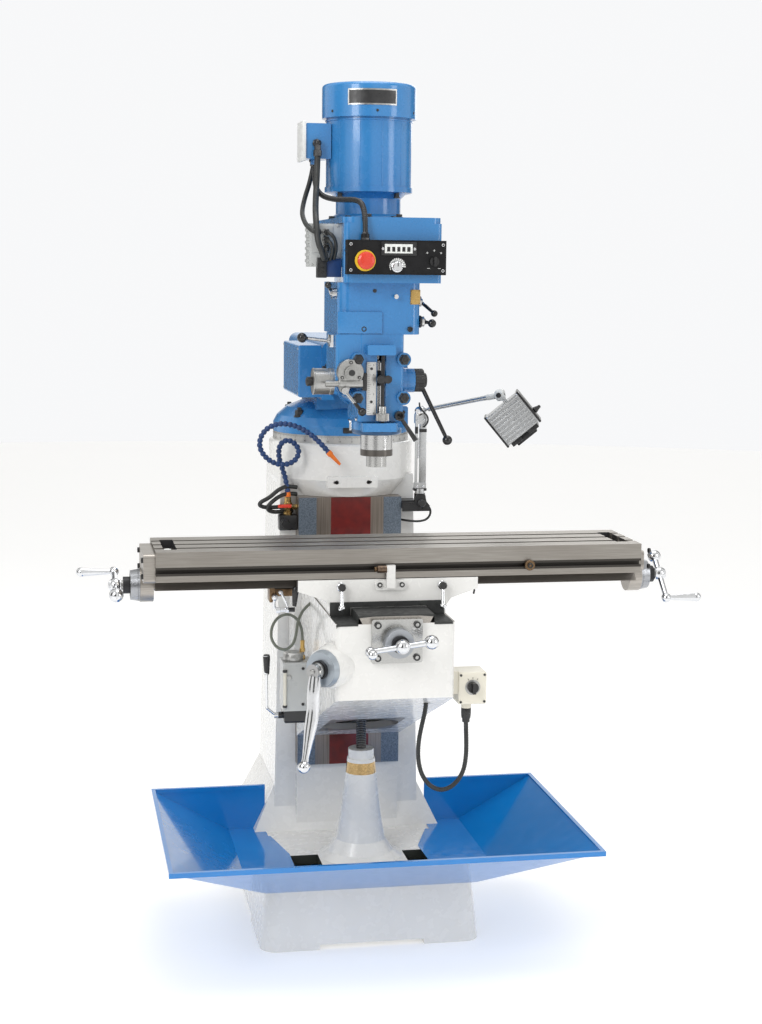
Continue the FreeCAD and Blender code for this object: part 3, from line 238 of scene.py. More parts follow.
def enamel(name, light, shade, rough=0.24, coat=0.35):
    """Sprayed machine enamel over filled castings: gloss, orange peel and slow waviness."""
    look = Finish(name, light, rough, coat=coat)
    look.colour = look.mottle(light, shade, 5.0, 4)
    look.rough = look.spread(look.noise(38.0, 2), rough - 0.05, rough + 0.08)
    look.bump(look.noise(300.0, 1), 0.00003, 0.3)
    look.bump(look.noise(20.0, 1), 0.00012, 0.3)
    return look


def metal(name, light, dark, rough, stretch=(1, 1, 1), scale=260.0, relief=0.00006):
    """Machined metal whose grain is drawn out along the axes with a small stretch."""
    look = Finish(name, light, rough, metal=1.0)
    grain = look.noise(scale, 4, stretch)
    look.colour = look.mixed(look.spread(grain, 0.0, 1.0), light, dark)
    look.rough = look.spread(look.noise(scale * 0.6, 3, stretch), rough - 0.06, rough + 0.09)
    look.colour = look.mixed(look.spread(look.noise(9.0, 3), 0.0, 0.35), look.colour, dark)
    look.bump(grain, relief, 0.6)
    return look


def moulded(name, light, dark, rough, grain=900.0, relief=0.00008):
    """Moulded plastic, rubber or black oxide: fine grain and a little uneven sheen."""
    look = Finish(name, light, rough)
    look.colour = look.mottle(light, dark, 55.0, 3)
    look.rough = look.spread(look.noise(80.0, 2), rough - 0.07, rough + 0.1)
    look.bump(look.noise(grain, 2), relief, 0.6)
    return look


WHITE = (0.79, 0.785, 0.765), (0.73, 0.725, 0.705)
BLUE = (0.038, 0.215, 0.50), (0.03, 0.185, 0.45)
IRON = (0.46, 0.43, 0.395), (0.34, 0.315, 0.285)


def column_finish():
    look = enamel("column_enamel", *WHITE)
    brown = look.mottle((0.36, 0.31, 0.27), (0.22, 0.19, 0.165), 300.0, 4, (1, 1, 0.02))
    look.over(look.zone((-151, -27, 401), (151, 41, 1190.6)), brown, 0.34, 0.9)
    for low, high in ((-150.5, -98), (98, 150.5)):
        look.scraped((low, -27, 401), (high, -25.5, 1190))
    return look.done(((-56, -27, 401), (60, -25.5, 1190),
                      [(0.17, 0.012, 0.01), (0.10, 0.008, 0.008), 40, 3], 0.3),
                     *[((x - 41, -332, 100), (x + 41, -234, 199.2), (0.03, 0.035, 0.03), 0.5)
                       for x in (-160.5, 160.5)])


def table_finish():
    look = metal("table_iron", (0.40, 0.38, 0.35), (0.29, 0.27, 0.245), 0.38, (0.03, 1, 1),
                 420.0)
    look.colour = look.mixed(look.spread(look.noise(3.2, 4, (1, 3, 3)), 0.0, 0.5), look.colour,
                             (0.25, 0.225, 0.20))
    return look.done(((-600, -625, 1073), (690, -606.2, 1095), (0.05, 0.045, 0.04), 0.55, 0.6),
                     ((-600, -620, 1056), (690, -370, 1057.4), (0.09, 0.08, 0.075), 0.5, 0.7),
                     *[((left, -581, 1113), (left + 36, -409, 1133.3), (0.05, 0.05, 0.055), 0.45,
                        0.5) for left in (-573, 618)])


def crank_finish():
    look = metal("knee_crank_chrome", (0.74, 0.75, 0.77), (0.62, 0.62, 0.64), 0.1)
    for low, high, *paint in ((20, 42.6, (0.36, 0.40, 0.44), 0.3, 0.6),
                              (42.6, 52.2, (0.018, 0.018, 0.02), 0.4, 0.3),
                              (52.2, 77, (0.40, 0.40, 0.40), 0.32, 1.0)):
        look.over(look.slab(KNEE_CRANK, CRANK_AXIS, low, high), *paint)
    return look.done()


def cross_screw_finish():
    look = metal("cross_screw_steel", (0.55, 0.54, 0.53), (0.32, 0.31, 0.30), 0.26, (1, 20, 1))
    look.bump(look.math("MULTIPLY", look.rings("Y", 0.005),
                        look.zone((-20, -715, 890), (20, -100, 940))), 0.001)
    return look.done(((-40, -778.6, 870), (40, -756, 960), (0.40, 0.42, 0.45), 0.32, 0.5),
                     ((-40, -791, 870), (40, -778.6, 960), (0.018, 0.018, 0.02), 0.4, 0.3))


def screw_finish(name, axis, low, high, tone=0.42):
    """A lead screw: a turned bar with its thread between low and high."""
    look = metal(name, (tone, tone, tone * 0.98), (tone * 0.6,) * 3, 0.3)
    look.bump(look.math("MULTIPLY", look.rings(axis, 0.005), look.zone(low, high)), 0.0012)
    # Painted shade: the thread's valleys are darkened toward near-black.
    valley_shade = look.math("MULTIPLY", look.spread(look.rings(axis, 0.005), 1.0, 0.0),
                        look.zone(low, high))
    look.colour = look.mixed(valley_shade, look.colour, (0.03, 0.03, 0.03))
    return look.done()


def panel_finish():
    look = moulded("panel_black", (0.008, 0.008, 0.009), (0.013, 0.013, 0.014), 0.32)
    look.shader.inputs["Specular IOR Level"].default_value = 0.2
    return look.done(((-86, -575.4, 1837), (-34, -570.15, 1889), (0.80, 0.55, 0.03), 0.38))


def lever_finish(name, *ball_box):
    """A bright lever whose ball, inside a box of the row frame, is black."""
    return metal(name, (0.62, 0.62, 0.62), (0.48, 0.48, 0.48), 0.2).done(
        (*ball_box, (0.014, 0.014, 0.015), 0.18))


def lamp_finish():
    return metal("lamp_aluminium", (0.66, 0.67, 0.68), (0.52, 0.53, 0.54), 0.3, (1, 1, 1),
                 500.0).done()


def glass_finish():
    look = Finish("lamp_window", (0.80, 0.82, 0.80), 0.14)
    look.colour = look.mottle(look.colour, (0.66, 0.68, 0.66), 60, 3)
    look.bump(look.rings("X", 0.006), 0.0004)
    return look.done()


blue = enamel("blue_enamel", *BLUE).done()
grey = enamel("grey_enamel", (0.55, 0.565, 0.56), (0.49, 0.50, 0.495), 0.36, 0.1).done()
cream = enamel("cream_enamel", (0.76, 0.73, 0.63), (0.70, 0.66, 0.56), 0.34, 0.1).done()
iron = metal("ground_iron", *IRON, 0.34, (0.05, 1, 1), 400.0).done()
steel = metal("turned_steel", (0.58, 0.58, 0.57), (0.44, 0.44, 0.43), 0.24, (1, 1, 12)).done()
satin = metal("satin_steel", (0.50, 0.50, 0.49), (0.38, 0.38, 0.37), 0.34).done()
chrome = metal("chrome", (0.76, 0.77, 0.79), (0.66, 0.67, 0.69), 0.09, relief=0.00002).done()
oxide = moulded("black_oxide", (0.017, 0.017, 0.018), (0.03, 0.03, 0.031), 0.34, 700.0).done()
plastic = moulded("black_plastic", (0.012, 0.012, 0.013), (0.02, 0.02, 0.021), 0.3).done()
rubber = moulded("black_rubber", (0.018, 0.019, 0.019), (0.03, 0.032, 0.031), 0.5, 500.0,
                 0.00015).done()
red = moulded("red_button", (0.68, 0.055, 0.03), (0.58, 0.04, 0.02), 0.28).done()
yellow = moulded("yellow_ring", (0.80, 0.55, 0.03), (0.72, 0.47, 0.02), 0.38).done()
orange = moulded("orange_nozzle", (0.85, 0.20, 0.015), (0.75, 0.15, 0.01), 0.36).done()
navy = moulded("navy_hose", (0.013, 0.05, 0.17), (0.009, 0.035, 0.12), 0.38).done()
brass = metal("brass", (0.62, 0.42, 0.16), (0.48, 0.31, 0.11), 0.24).done()
gilt = metal("nut_brass", (0.55, 0.38, 0.17), (0.36, 0.24, 0.10), 0.22).done()
bronze = metal("bronze", (0.26, 0.17, 0.09), (0.14, 0.09, 0.055), 0.34).done()
white_plastic = moulded("white_plastic", (0.74, 0.75, 0.74), (0.67, 0.68, 0.67), 0.36).done()
ink = moulded("scale_ink", (0.02, 0.02, 0.022), (0.035, 0.035, 0.037), 0.5).done()
bright_scale = metal("scale_satin", (0.72, 0.72, 0.71), (0.62, 0.62, 0.61), 0.34).done()
louvre_grey = enamel("louvre_grey", (0.46, 0.47, 0.465), (0.40, 0.41, 0.40), 0.4, 0.05).done()
HOSE_GREY, DIAL_BLACK = (0.17, 0.185, 0.15), (0.018, 0.018, 0.02)

NODE_LOOKS = {
    "column_casting": column_finish(), "table_casting": table_finish(),
    "knee_crank": crank_finish(), "cross_screw": cross_screw_finish(),
    "control_panel": panel_finish(), "lamp_upper_arm": lamp_finish(),
    "lamp_head": lamp_finish(), "lamp_lower_arm": lamp_finish(),
    "screw_pedestal": enamel("pedestal_enamel", *WHITE).done(
        ((-45, -285, 438.2), (45, -195, 470),
         [(0.58, 0.40, 0.18), (0.36, 0.24, 0.10), 200, 3], 0.22, 1.0)),
    "chip_tray": enamel("tray_enamel", (0.003, 0.20, 0.58), (0.003, 0.175, 0.52), rough=0.16,
                        coat=0.7).done(),
    "graduated_ring": metal("ring_iron", (0.62, 0.62, 0.61), (0.52, 0.52, 0.51), 0.36,
                            (1, 1, 12)).done(),
    "knee_casting": enamel("knee_enamel", *WHITE).done(
        ((-154, -731, 959.4), (154, 0, 982), [*IRON, 300, 4, (1, 0.02, 1)], 0.3, 0.95),
        ((-106, -360, 400), (106, -120, 872), (0.16, 0.155, 0.15), 0.5)),
    "oil_pump": enamel("pump_enamel", (0.50, 0.51, 0.50), (0.42, 0.43, 0.42), 0.32, 0.15).done(
        ((-240, -320, 599), (-150, -230, 636.2), (0.02, 0.02, 0.022), 0.35),
        ((-228, -304, 772.3), (-168, -244, 797), (0.5, 0.5, 0.49), 0.28, 1.0),
        ((-270, -310, 797), (-182, -264, 960), HOSE_GREY, 0.4),
        ((-182.1, -310, 828), (-145, -264, 960), HOSE_GREY, 0.4),
        ((-181, -284, 797), (-165, -268, 828), (0.55, 0.36, 0.12), 0.3, 1.0)),
    "saddle_casting": enamel("saddle_enamel", *WHITE).done(
        ((-236, -621, 1027), (236, -331, 1056), (0.36, 0.34, 0.315), 0.34, 0.9),
        ((-31, -545, 880), (31, -470, 986), (0.30, 0.17, 0.06), 0.4, 0.9),
        # A dark brown patch on the stop bracket: partly the plunger's own dark colour, partly
        # painted shade in the table's slot beside it.
        ((-34, -650, 1072.5), (-9.05, -630, 1094),
         [(0.20, 0.135, 0.085), (0.09, 0.06, 0.045), 200, 3], 0.32, 0.9)),
    "quill_housing": enamel("head_enamel", *BLUE).done(
        ((-66, -497, 1410), (66, -364, 1424), (0.03, 0.10, 0.22), 0.35, 0.3)),
    "quill": metal("quill_steel", (0.66, 0.66, 0.66), (0.54, 0.54, 0.54), 0.16, (1, 1, 30),
                   300.0).done(
        ((-50, -480, 1353.4), (50, -380, 1371), (0.13, 0.12, 0.11), 0.28, 0.9),
        ((-12, -545, 1540), (12, -470, 1580), (0.015, 0.015, 0.016), 0.4, 0.3)),
    "elevating_screw": screw_finish("elevating_thread", "Z", (-20, -300, 380), (20, -200, 850),
                                    0.30),
    "table_screw": screw_finish("table_thread", "X", (-590, -520, 1005), (674, -460, 1055)),
    "table_dials": metal("dial_satin", (0.42, 0.43, 0.45), (0.33, 0.34, 0.36), 0.3, (1, 1, 1),
                         500.0).done(
        ((-680, -530, 1000), (-652.4, -460, 1060), DIAL_BLACK, 0.42, 0.3),
        ((734.4, -530, 1000), (760, -460, 1060), DIAL_BLACK, 0.42, 0.3)),
    "quill_handle": lever_finish("quill_lever", (90, -510, 1380), (200, -400, 1600)),
    "depth_stop": moulded("stop_black", (0.014, 0.014, 0.015), (0.03, 0.03, 0.03), 0.36).done(),
    "feed_trip_lever": lever_finish("trip_lever", (-80, -550, 1460), (-40, -515, 1500)),
    "feed_rate_lever": lever_finish("rate_lever", (-225, -475, 1646), (-189, -440, 1685)),
    "back_gear_lever": lever_finish("gear_lever", (118, -500, 1680), (170, -455, 1722)),
    "belt_tension_lever": lever_finish("tension_lever", (118, -480, 1700), (170, -420, 1752)),
    "brake_lever": lever_finish("brake_arm", (-160, -500, 1785), (-124, -465, 1815)),
}
for look, labels in (
        (blue, "turret ram ram_adapter gear_housing belt_housing motor"), (cream, "switch_box"),
        (grey, "electrical_cabinet"), (iron, "table_end_brackets motor_pulley spindle_pulley"),
        (steel, "cross_screw_bracket spindle"), (bronze, "table_stop_dogs"),
        (satin, "speed_knob depth_stop_nut feed_gearbox feed_direction_knob"),
        (chrome, "oil_pump_lever cross_crank table_lock_left table_lock_right table_cranks"),
        (oxide, "head_bolts quill_lock lamp_bracket coolant_line"),
        (plastic, "switch_knob motor_conduit selector_switch"),
        (rubber, "drive_belt switch_cable"), (red, "emergency_stop coolant_tap")):
    NODE_LOOKS.update(dict.fromkeys(labels.split(), look))
for label, look in NODE_LOOKS.items():
    NODES[label].data.materials.clear()
    NODES[label].data.materials.append(look)


# ------------------------------------------------------------ shapes in mesh

def across(axis):
    side = axis.cross(UP) if abs(axis.z) < 0.9 else axis.cross(BACK)
    side.normalize()
    return side, axis.cross(side).normalized()


class Shape:
    """A mesh under construction, in millimetres of the row frame."""

    def __init__(self):
        self.points, self.faces, self.kinds, self.kind = [], [], [], 0

    def use(self, kind):
        self.kind = kind
        return self

    def grow(self, points, faces):
        start = len(self.points)
        self.points += [Vector(p) for p in points]
        self.faces += [tuple(start + i for i in face) for face in faces]
        self.kinds += [self.kind] * len(faces)
        return self

    def rings(self, loops, closed=True):
        """Skins a run of loops; a loop of one point closes to a tip."""
        points, faces, starts = [], [], []
        for loop in loops:
            starts.append(len(points))
            points += loop
        for n in range(len(loops) - 1):
            a, b = loops[n], loops[n + 1]
            s, t = starts[n], starts[n + 1]
            count = max(len(a), len(b))
            for i in range(count if closed else count - 1):
                j = (i + 1) % count
                if len(a) == 1:
                    faces.append((s, t + j, t + i))
                elif len(b) == 1:
                    faces.append((s + i, s + j, t))
                else:
                    faces.append((s + i, s + j, t + j, t + i))
        return self.grow(points, faces)

    def lathe(self, profile, base, axis=UP, sides=40, wave=None):
        """Turns (radius, height) points round an axis; wave(angle, height) scales the radius."""
        axis = Vector(axis).normalized()
        u, v = across(axis)
        loops = []
        for radius, height in profile:
            middle = Vector(base) + axis * height
            if radius < 1e-6:
                loops.append([middle])
                continue
            loop = []
            for i in range(sides):
                angle = 2 * math.pi * i / sides
                reach = radius * (wave(angle, height) if wave else 1)
                loop.append(middle + (u * math.cos(angle) + v * math.sin(angle)) * reach)
            loops.append(loop)
        return self.rings(loops)

    def tube(self, path, radius, sides=14):
        """A tube along points; radius is one number or one for each point."""
        path = [Vector(p) for p in path]
        radii = [radius] * len(path) if isinstance(radius, (int, float)) else radius
        heading = (path[1] - path[0]).normalized()
        u = across(heading)[0]
        loops = []
        for n, (point, reach) in enumerate(zip(path, radii)):
            ahead = path[min(n + 1, len(path) - 1)] - path[max(n - 1, 0)]
            ahead.normalize()
            u = (u - ahead * u.dot(ahead)).normalized()
            v = ahead.cross(u)
            loops.append([point + (u * math.cos(a) + v * math.sin(a)) * reach
                          for a in (2 * math.pi * i / sides for i in range(sides))])
        return self.rings([[path[0]], *loops, [path[-1]]])

    def box(self, low, high, bevel=1.0, turn=None, pivot=(0, 0, 0)):
        """A bevelled block, turned about a pivot if asked."""
        low, high = Vector(low), Vector(high)
        bm = bmesh.new()
        bmesh.ops.create_cube(bm, size=1)
        for vert in bm.verts:
            vert.co = Vector([(low[i] + high[i]) / 2 + vert.co[i] * (high[i] - low[i])
                              for i in range(3)])
        bmesh.ops.bevel(bm, geom=bm.edges[:], offset=bevel, segments=2, profile=0.6,
                        affect="EDGES")
        if turn is not None:
            pivot = Vector(pivot)
            for vert in bm.verts:
                vert.co = pivot + turn @ (vert.co - pivot)
        bm.verts.index_update()
        self.grow([v.co.copy() for v in bm.verts],
                  [[v.index for v in face.verts] for face in bm.faces])
        bm.free()
        return self

    def prism(self, outline, shift):
        """An outline, a list of points, pushed along a vector and capped."""
        outline = [Vector(p) for p in outline]
        far = [p + Vector(shift) for p in outline]
        count = len(outline)
        sides = [(i, (i + 1) % count, count + (i + 1) % count, count + i) for i in range(count)]
        return self.grow(outline + far, [*sides, tuple(range(count))[::-1],
                                         tuple(range(count, 2 * count))])

    def ball(self, radius, centre):
        steps = 14
        profile = [(radius * math.sin(math.pi * i / steps), -radius * math.cos(math.pi * i / steps))
                   for i in range(steps + 1)]
        return self.lathe(profile, centre, UP, 28)


def piece(name, shape, body, slot, *looks, crease=32):
    mesh = bpy.data.meshes.new(name)
    mesh.from_pydata([p * MM for p in shape.points], [], shape.faces)
    mesh.validate()
    for look in looks:
        mesh.materials.append(look)
    if len(shape.kinds) == len(mesh.polygons):
        mesh.polygons.foreach_set("material_index", shape.kinds)
    bm = bmesh.new()
    bm.from_mesh(mesh)
    bmesh.ops.recalc_face_normals(bm, faces=bm.faces)
    bm.to_mesh(mesh)
    bm.free()
    mesh.shade_smooth()
    mesh.set_sharp_from_angle(angle=math.radians(crease))
    obj = placed(name, mesh)
    if body:
        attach(obj, body)
    return obj


def taken(curve, read):
    """What read finds in the mesh of a curve, which is then thrown away."""
    holder = placed(curve.name, curve)
    mesh = bpy.data.meshes.new_from_object(holder)
    found = read(mesh)
    bpy.data.objects.remove(holder)
    bpy.data.meshes.remove(mesh)
    return found


def centre_line(route, fineness=24):
    """The smooth line of a route: a NURBS spline with the route's points as its controls."""
    curve = bpy.data.curves.new("route", "CURVE")
    curve.dimensions = "3D"
    curve.resolution_u = fineness
    run = curve.splines.new("NURBS")
    run.points.add(len(route) - 1)
    for knot, point in zip(run.points, route):
        knot.co = (*(Vector(point) * MM), 1)
    run.order_u = 3
    run.use_endpoint_u = True
    return taken(curve, lambda mesh: [v.co / MM for v in mesh.vertices])


def turned(name, body, slot, look, *parts):
    """A piece made of turned parts alone, each given as lathe takes it."""
    shape = Shape()
    for part in parts:
        shape.lathe(*part)
    return piece(name, shape, body, slot, look)


def disc(radius, height):
    return [(0, 0), (radius, 0), (radius, height), (0, height)]


def polar(degree):
    """The level direction at an angle round a vertical axis, counted from the front."""
    a = math.radians(degree)
    return Vector((math.sin(a), -math.cos(a), 0))


def lengths(line):
    total = [0.0]
    for a, b in zip(line, line[1:]):
        total.append(total[-1] + (b - a).length)
    return total


def ribbed(line, outer, inner, pitch):
    """Radii of a corrugated tube along a line."""
    return [inner + (outer - inner) * (0.5 + 0.5 * math.cos(2 * math.pi * s / pitch))
            for s in lengths(line)]


# ------------------------------------------------------------ the free cable

SWITCH_CABLE = [(198, -670, 722), (198, -670, 680), (200, -671, 636), (200, -672, 592),
                (193, -672, 550), (170, -671, 516), (138, -670, 502), (105, -668, 515),
                (82, -665, 549), (74, -661, 592), (77, -656, 636), (87, -649, 678),
                (98, -640, 714), (101, -634, 752)]
line = centre_line(SWITCH_CABLE, 60)
cable = piece("switch_conduit", Shape().tube(line, ribbed(line, 6.4, 5.2, 4.2), 18), "knee",
              "rubber", rubber, crease=60)
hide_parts("switch_cable")

FLARE = [(0, 0), (9.5, 0), (10, 2), (10, 9), (11.5, 10), (12.5, 16), (13, 26), (13, 38), (12, 40),
         (0, 40)]
turned("cable_gland", "knee", "black_plastic", plastic, (FLARE, (198, -670, 684), UP, 32))


# ------------------------------------------------------------ shared details

def cap_screw(shape, centre, axis, radius, height):
    """A socket-head screw: rim, chamfer and a hexagonal socket."""
    axis = Vector(axis).normalized()
    deep = height * 0.45
    shape.lathe([(radius * 0.98, 0), (radius, height * 0.12), (radius, height * 0.86),
                 (radius * 0.9, height), (radius * 0.58, height)], centre, axis, 36)
    shape.lathe([(radius * 0.58, height), (radius * 0.54, height - deep), (0, height - deep)],
                centre, axis, 6)


def cap_screws(shape, xs, y, zs, radius, height):
    """Socket-head screws that face the front, one for each x and z."""
    for x in xs:
        for z in zs:
            cap_screw(shape, (x, y, z), FRONT, radius, height)


def hex_nut(shape, centre, axis, radius, height):
    shape.lathe([(0, 0), (radius * 1.25, 0), (radius * 1.25, height * 0.2),
                 (radius, height * 0.22)], centre, axis, 32)
    shape.lathe([(radius, height * 0.22), (radius, height * 0.9), (radius * 0.88, height),
                 (0, height)], centre, axis, 6)


def knurl(count, depth=0.035):
    return lambda angle, height: 1 + depth * math.cos(count * angle)


GLYPHS = {}


def glyph(text):
    """A number's flat mesh, 1 unit high and centred."""
    if text not in GLYPHS:
        curve = bpy.data.curves.new("digits", "FONT")
        curve.body = text
        curve.align_x = "CENTER"
        curve.align_y = "CENTER"
        GLYPHS[text] = taken(curve, lambda mesh: ([v.co.copy() for v in mesh.vertices],
                                                  [tuple(f.vertices) for f in mesh.polygons]))
    return GLYPHS[text]


def write(shape, text, centre, right, up, size):
    points, faces = glyph(text)
    shape.grow([Vector(centre) + (Vector(right) * p.x + Vector(up) * p.y) * size
                for p in points], faces)


def stroke(shape, middle, along, thick, length, width):
    """A thin flat mark: middle, its direction, the direction out of the surface."""
    along, thick = Vector(along), Vector(thick)
    side = along.cross(thick).normalized() * (width / 2)
    half = along * (length / 2)
    middle = Vector(middle)
    shape.grow([middle - half - side, middle + half - side, middle + half + side,
                middle - half + side], [(0, 1, 2, 3)])


def dial_marks(name, body, centre, axis, radius, width, count, numbers):
    """Graduations round a dial's rim, with a number at every tenth mark."""
    shape = Shape()
    axis = Vector(axis).normalized()
    u, v = across(axis)
    for i in range(count):
        angle = 2 * math.pi * i / count
        out = u * math.cos(angle) + v * math.sin(angle)
        size = width * (0.5 if i % 5 else 0.62)
        stroke(shape, Vector(centre) + out * radius - axis * (width - size) / 2, axis, out, size,
               0.5)
        if numbers and i % 10 == 0:
            write(shape, str(i), Vector(centre) + out * (radius + 0.02) + axis * width * 0.32,
                  axis.cross(out), axis, width * 0.3)
    return piece(name, shape, body, "black_steel", ink)


# -------------------------------------------------------------- base details

marks = Shape()
for degree in range(360):
    out = polar(degree)
    rim = TURRET_AXIS + out * 200.15
    tall = 10 if degree % 10 == 0 else (8 if degree % 5 == 0 else 5)
    stroke(marks, rim + UP * (1367 - tall / 2), UP, out, tall, 0.7)
    if degree % 10 == 0:
        shown = degree if degree <= 180 else 360 - degree
        write(marks, str(shown), rim + UP * 1351.5, UP.cross(out), UP, 7.5)
piece("ring_marks", marks, "base", "black_steel", ink)

turned("pad_plugs", "base", "black_steel", oxide, *[
    ([(0, 0), (5.5, 0), (5.5, 1.6), (3.4, 1.9), (3.1, -1), (0, -1)], (x, -64, 1237.5), FRONT, 24)
    for x in (-46, 46)])

nut_ring = Shape()
nut_ring.lathe([(17.2, 0), (38, 0), (39.5, 2), (39.5, 9), (37, 12), (34, 13), (34, 22), (32, 24.2),
                (17.2, 24.2)], (0, -240, 437.4), UP, 48)
nut_ring.use(1)
for i in range(4):
    nut_ring.lathe(disc(3.6, 0.5), Vector((0, -240, 461.4)) + polar(45 + 90 * i) * 27, UP, 20)
nut_ring.lathe(disc(4.2, 0.4), (-14, -276.4, 453), FRONT, 20)
piece("lift_nut_ring", nut_ring, "base", "ground_iron", gilt, oxide)

lamp_foot = Shape()
lamp_foot.prism([(151, -39, 1148), (232, -39, 1148), (232, -39, 1164), (222, -39, 1176),
                 (218, -39, 1196), (192, -39, 1196), (186, -39, 1172), (172, -39, 1168),
                 (151, -39, 1168)], (0, 6, 0))
lamp_foot.lathe([(0, 0), (10, 0), (10, 4), (11.5, 6), (11.5, 11), (9, 13), (0, 14)],
                (206, -39, 1172), FRONT, 30, knurl(20))
piece("lamp_foot", lamp_foot, "base", "black_steel", oxide)


def wire(name, route, radius, body):
    """A short fixed lead between two fittings."""
    run = centre_line(route)
    piece(name, Shape().tube(run, radius, 12), body, "rubber", rubber, crease=60)


wire("lamp_lead", [(222, -10, 1162), (237, -12, 1158), (241, -14, 1138), (230, -14, 1120),
                   (206, -12, 1114), (180, -10, 1116), (158, 0, 1118), (149, 12, 1120)], 3.2,
     "base")
wire("pump_lead_upper", [(-150, 10, 1216), (-178, 4, 1222), (-206, -6, 1212), (-232, -12, 1190),
                         (-258, -14, 1178), (-262, -10, 1168), (-246, 0, 1160), (-214, 14, 1158),
                         (-160, 26, 1160)], 6, "base")
wire("pump_lead_lower", [(-150, 14, 1196), (-176, 6, 1200), (-204, -2, 1192), (-228, -6, 1174),
                         (-240, -4, 1158), (-226, 6, 1146), (-196, 18, 1144), (-160, 28, 1146)],
     6, "base")

# ------------------------------------------------------------- coolant line

HOSE = [(-177, 6, 1202), (-182, 4, 1236), (-194, 0, 1272), (-206, -8, 1306), (-206, -18, 1340),
        (-188, -28, 1358), (-164, -36, 1350), (-150, -42, 1326), (-162, -48, 1300),
        (-190, -52, 1288), (-222, -56, 1292), (-250, -60, 1310), (-268, -64, 1338),
        (-266, -68, 1370), (-246, -71, 1396), (-216, -74, 1408), (-182, -77, 1406),
        (-150, -80, 1394), (-120, -84, 1374), (-94, -90, 1350), (-74, -97, 1326)]
line = centre_line(HOSE)
radii = []
for s in lengths(line):
    part = (s / 13.5) % 1
    radii.append(5.4 + 2.7 * math.sin(math.pi * min(part / 0.8, 1)) ** 0.5 if part < 0.8 else 5.4)
piece("coolant_hose", Shape().tube(line, radii, 20), "base", "blue_plastic", navy, crease=60)
turned("coolant_nozzle", "base", "red_plastic", orange,
       ([(0, -2), (8.4, -2), (8.8, 2), (8.4, 9), (6.4, 11), (6, 16), (4.4, 40), (3.6, 47),
         (2.4, 47.5), (2.2, 40), (0, 40)], (-75, -97, 1327), (32, -9, -34), 28),
       ([(0, 0), (8.6, 0), (8.8, 9), (7, 12), (7, 16), (0, 16)], COOLANT_VALVE + UP * 52, UP, 28))
valve = Shape()
valve.box((-204, -14, 1094), (-150.6, 24, 1138), 4)
valve.lathe([(0, 0), (13, 0), (13, 5), (10, 7), (10, 22), (12, 24), (12, 30), (0, 30)],
            (-190, -14, 1116), FRONT, 6)
valve.use(1)
valve.lathe([(0, 0), (12, 0), (12, 8), (9, 10), (9, 18), (12, 20), (12, 34), (9.5, 36),
             (9.5, 50), (0, 50)], COOLANT_VALVE, UP, 6)
valve.lathe([(0, 0), (9, 0), (9, 10), (7, 12), (7, 17.6), (0, 17.6)], COOLANT_VALVE + UP * 28,
            FRONT, 30)
valve.lathe([(0, 0), (7, 0), (7, 16), (9, 18), (9, 26), (0, 26)], COOLANT_VALVE + UP * 22, RIGHT,
            6)
block = piece("coolant_valve", valve, "base", "black_plastic", plastic, brass)
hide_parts("coolant_line")
grip = Shape()
grip.box((-209, -24.4, 1161), (-170, -18, 1171), 2.4)
grip.lathe([(0, 0), (4.5, 0), (4.5, 3), (0, 3.4)], (-177, -24.4, 1166), FRONT, 20)
piece("tap_grip", grip, "coolant_tap", "red_plastic", red)

# -------------------------------------------------------------- knee details

screws = Shape()
cap_screws(screws, (-50, 50), -744, (875, 959), 8.6, 7.2)
piece("bracket_screws", screws, "knee", "black_steel", oxide)
dial_marks("cross_dial_marks", "cross_feed", (0, -767.4, 917), FRONT, 37.12, 20, 100, True)
turned("knee_hub_details", "knee_crank", "steel", satin,
       ([(0, 76), (6, 76), (6.5, 79), (5, 81), (0, 81.5)], KNEE_CRANK, CRANK_AXIS, 20),
       ([(19.4, 52.5), (20.2, 54), (20.2, 62), (19.4, 63.5)], KNEE_CRANK, CRANK_AXIS, 40,
        knurl(40, 0.02)),
       ([(0, -23), (5, -23), (6, -21), (6, 21), (5, 23), (0, 23)], KNEE_CRANK + CRANK_AXIS * 67,
        CRANK_AXIS.cross(UP), 24))
handle = Shape()
path, radii = [], []
root = KNEE_CRANK + CRANK_AXIS * 63
for across_arm, down, radius in ((1, 12, 15.2), (4, 34, 16.8), (8, 62, 16.6), (9, 90, 15.4),
                                 (14, 120, 16.2), (22, 150, 14.8), (29, 176, 12.2),
                                 (34, 196, 10.6), (39, 212, 8.6), (42, 223, 9.2)):
    path.append(root + CRANK_AXIS * across_arm - UP * down)
    radii.append(radius)
handle.tube(path, radii, 28)
handle.ball(15.8, root + CRANK_AXIS * 46 - UP * 236)
piece("knee_crank_handle", handle, "knee_crank", "chrome", chrome, crease=60)

wiper = Shape()
rows = []
edge = [(-153, 955), (-150, 961.2), (-98, 961.4), (-97, 981.4), (-60, 981.8), (0, 982), (60, 981.8),
        (97, 981.4), (98, 961.4), (146, 961.2)]
for y, lift in ((-622.4, 0.0), (-650, 0.5), (-680, 0.7), (-710, 0.4), (-727, 0.0), (-730.2, -0.4)):
    rows.append([Vector((x, y, z + lift)) for x, z in edge])
rows.append([Vector((x, -731.2, z - (6 if abs(x) > 90 else 3))) for x, z in edge])
wiper.rings(rows, closed=False)
sheet = piece("way_cover", wiper, None, "rubber", rubber, crease=50)
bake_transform(sheet)

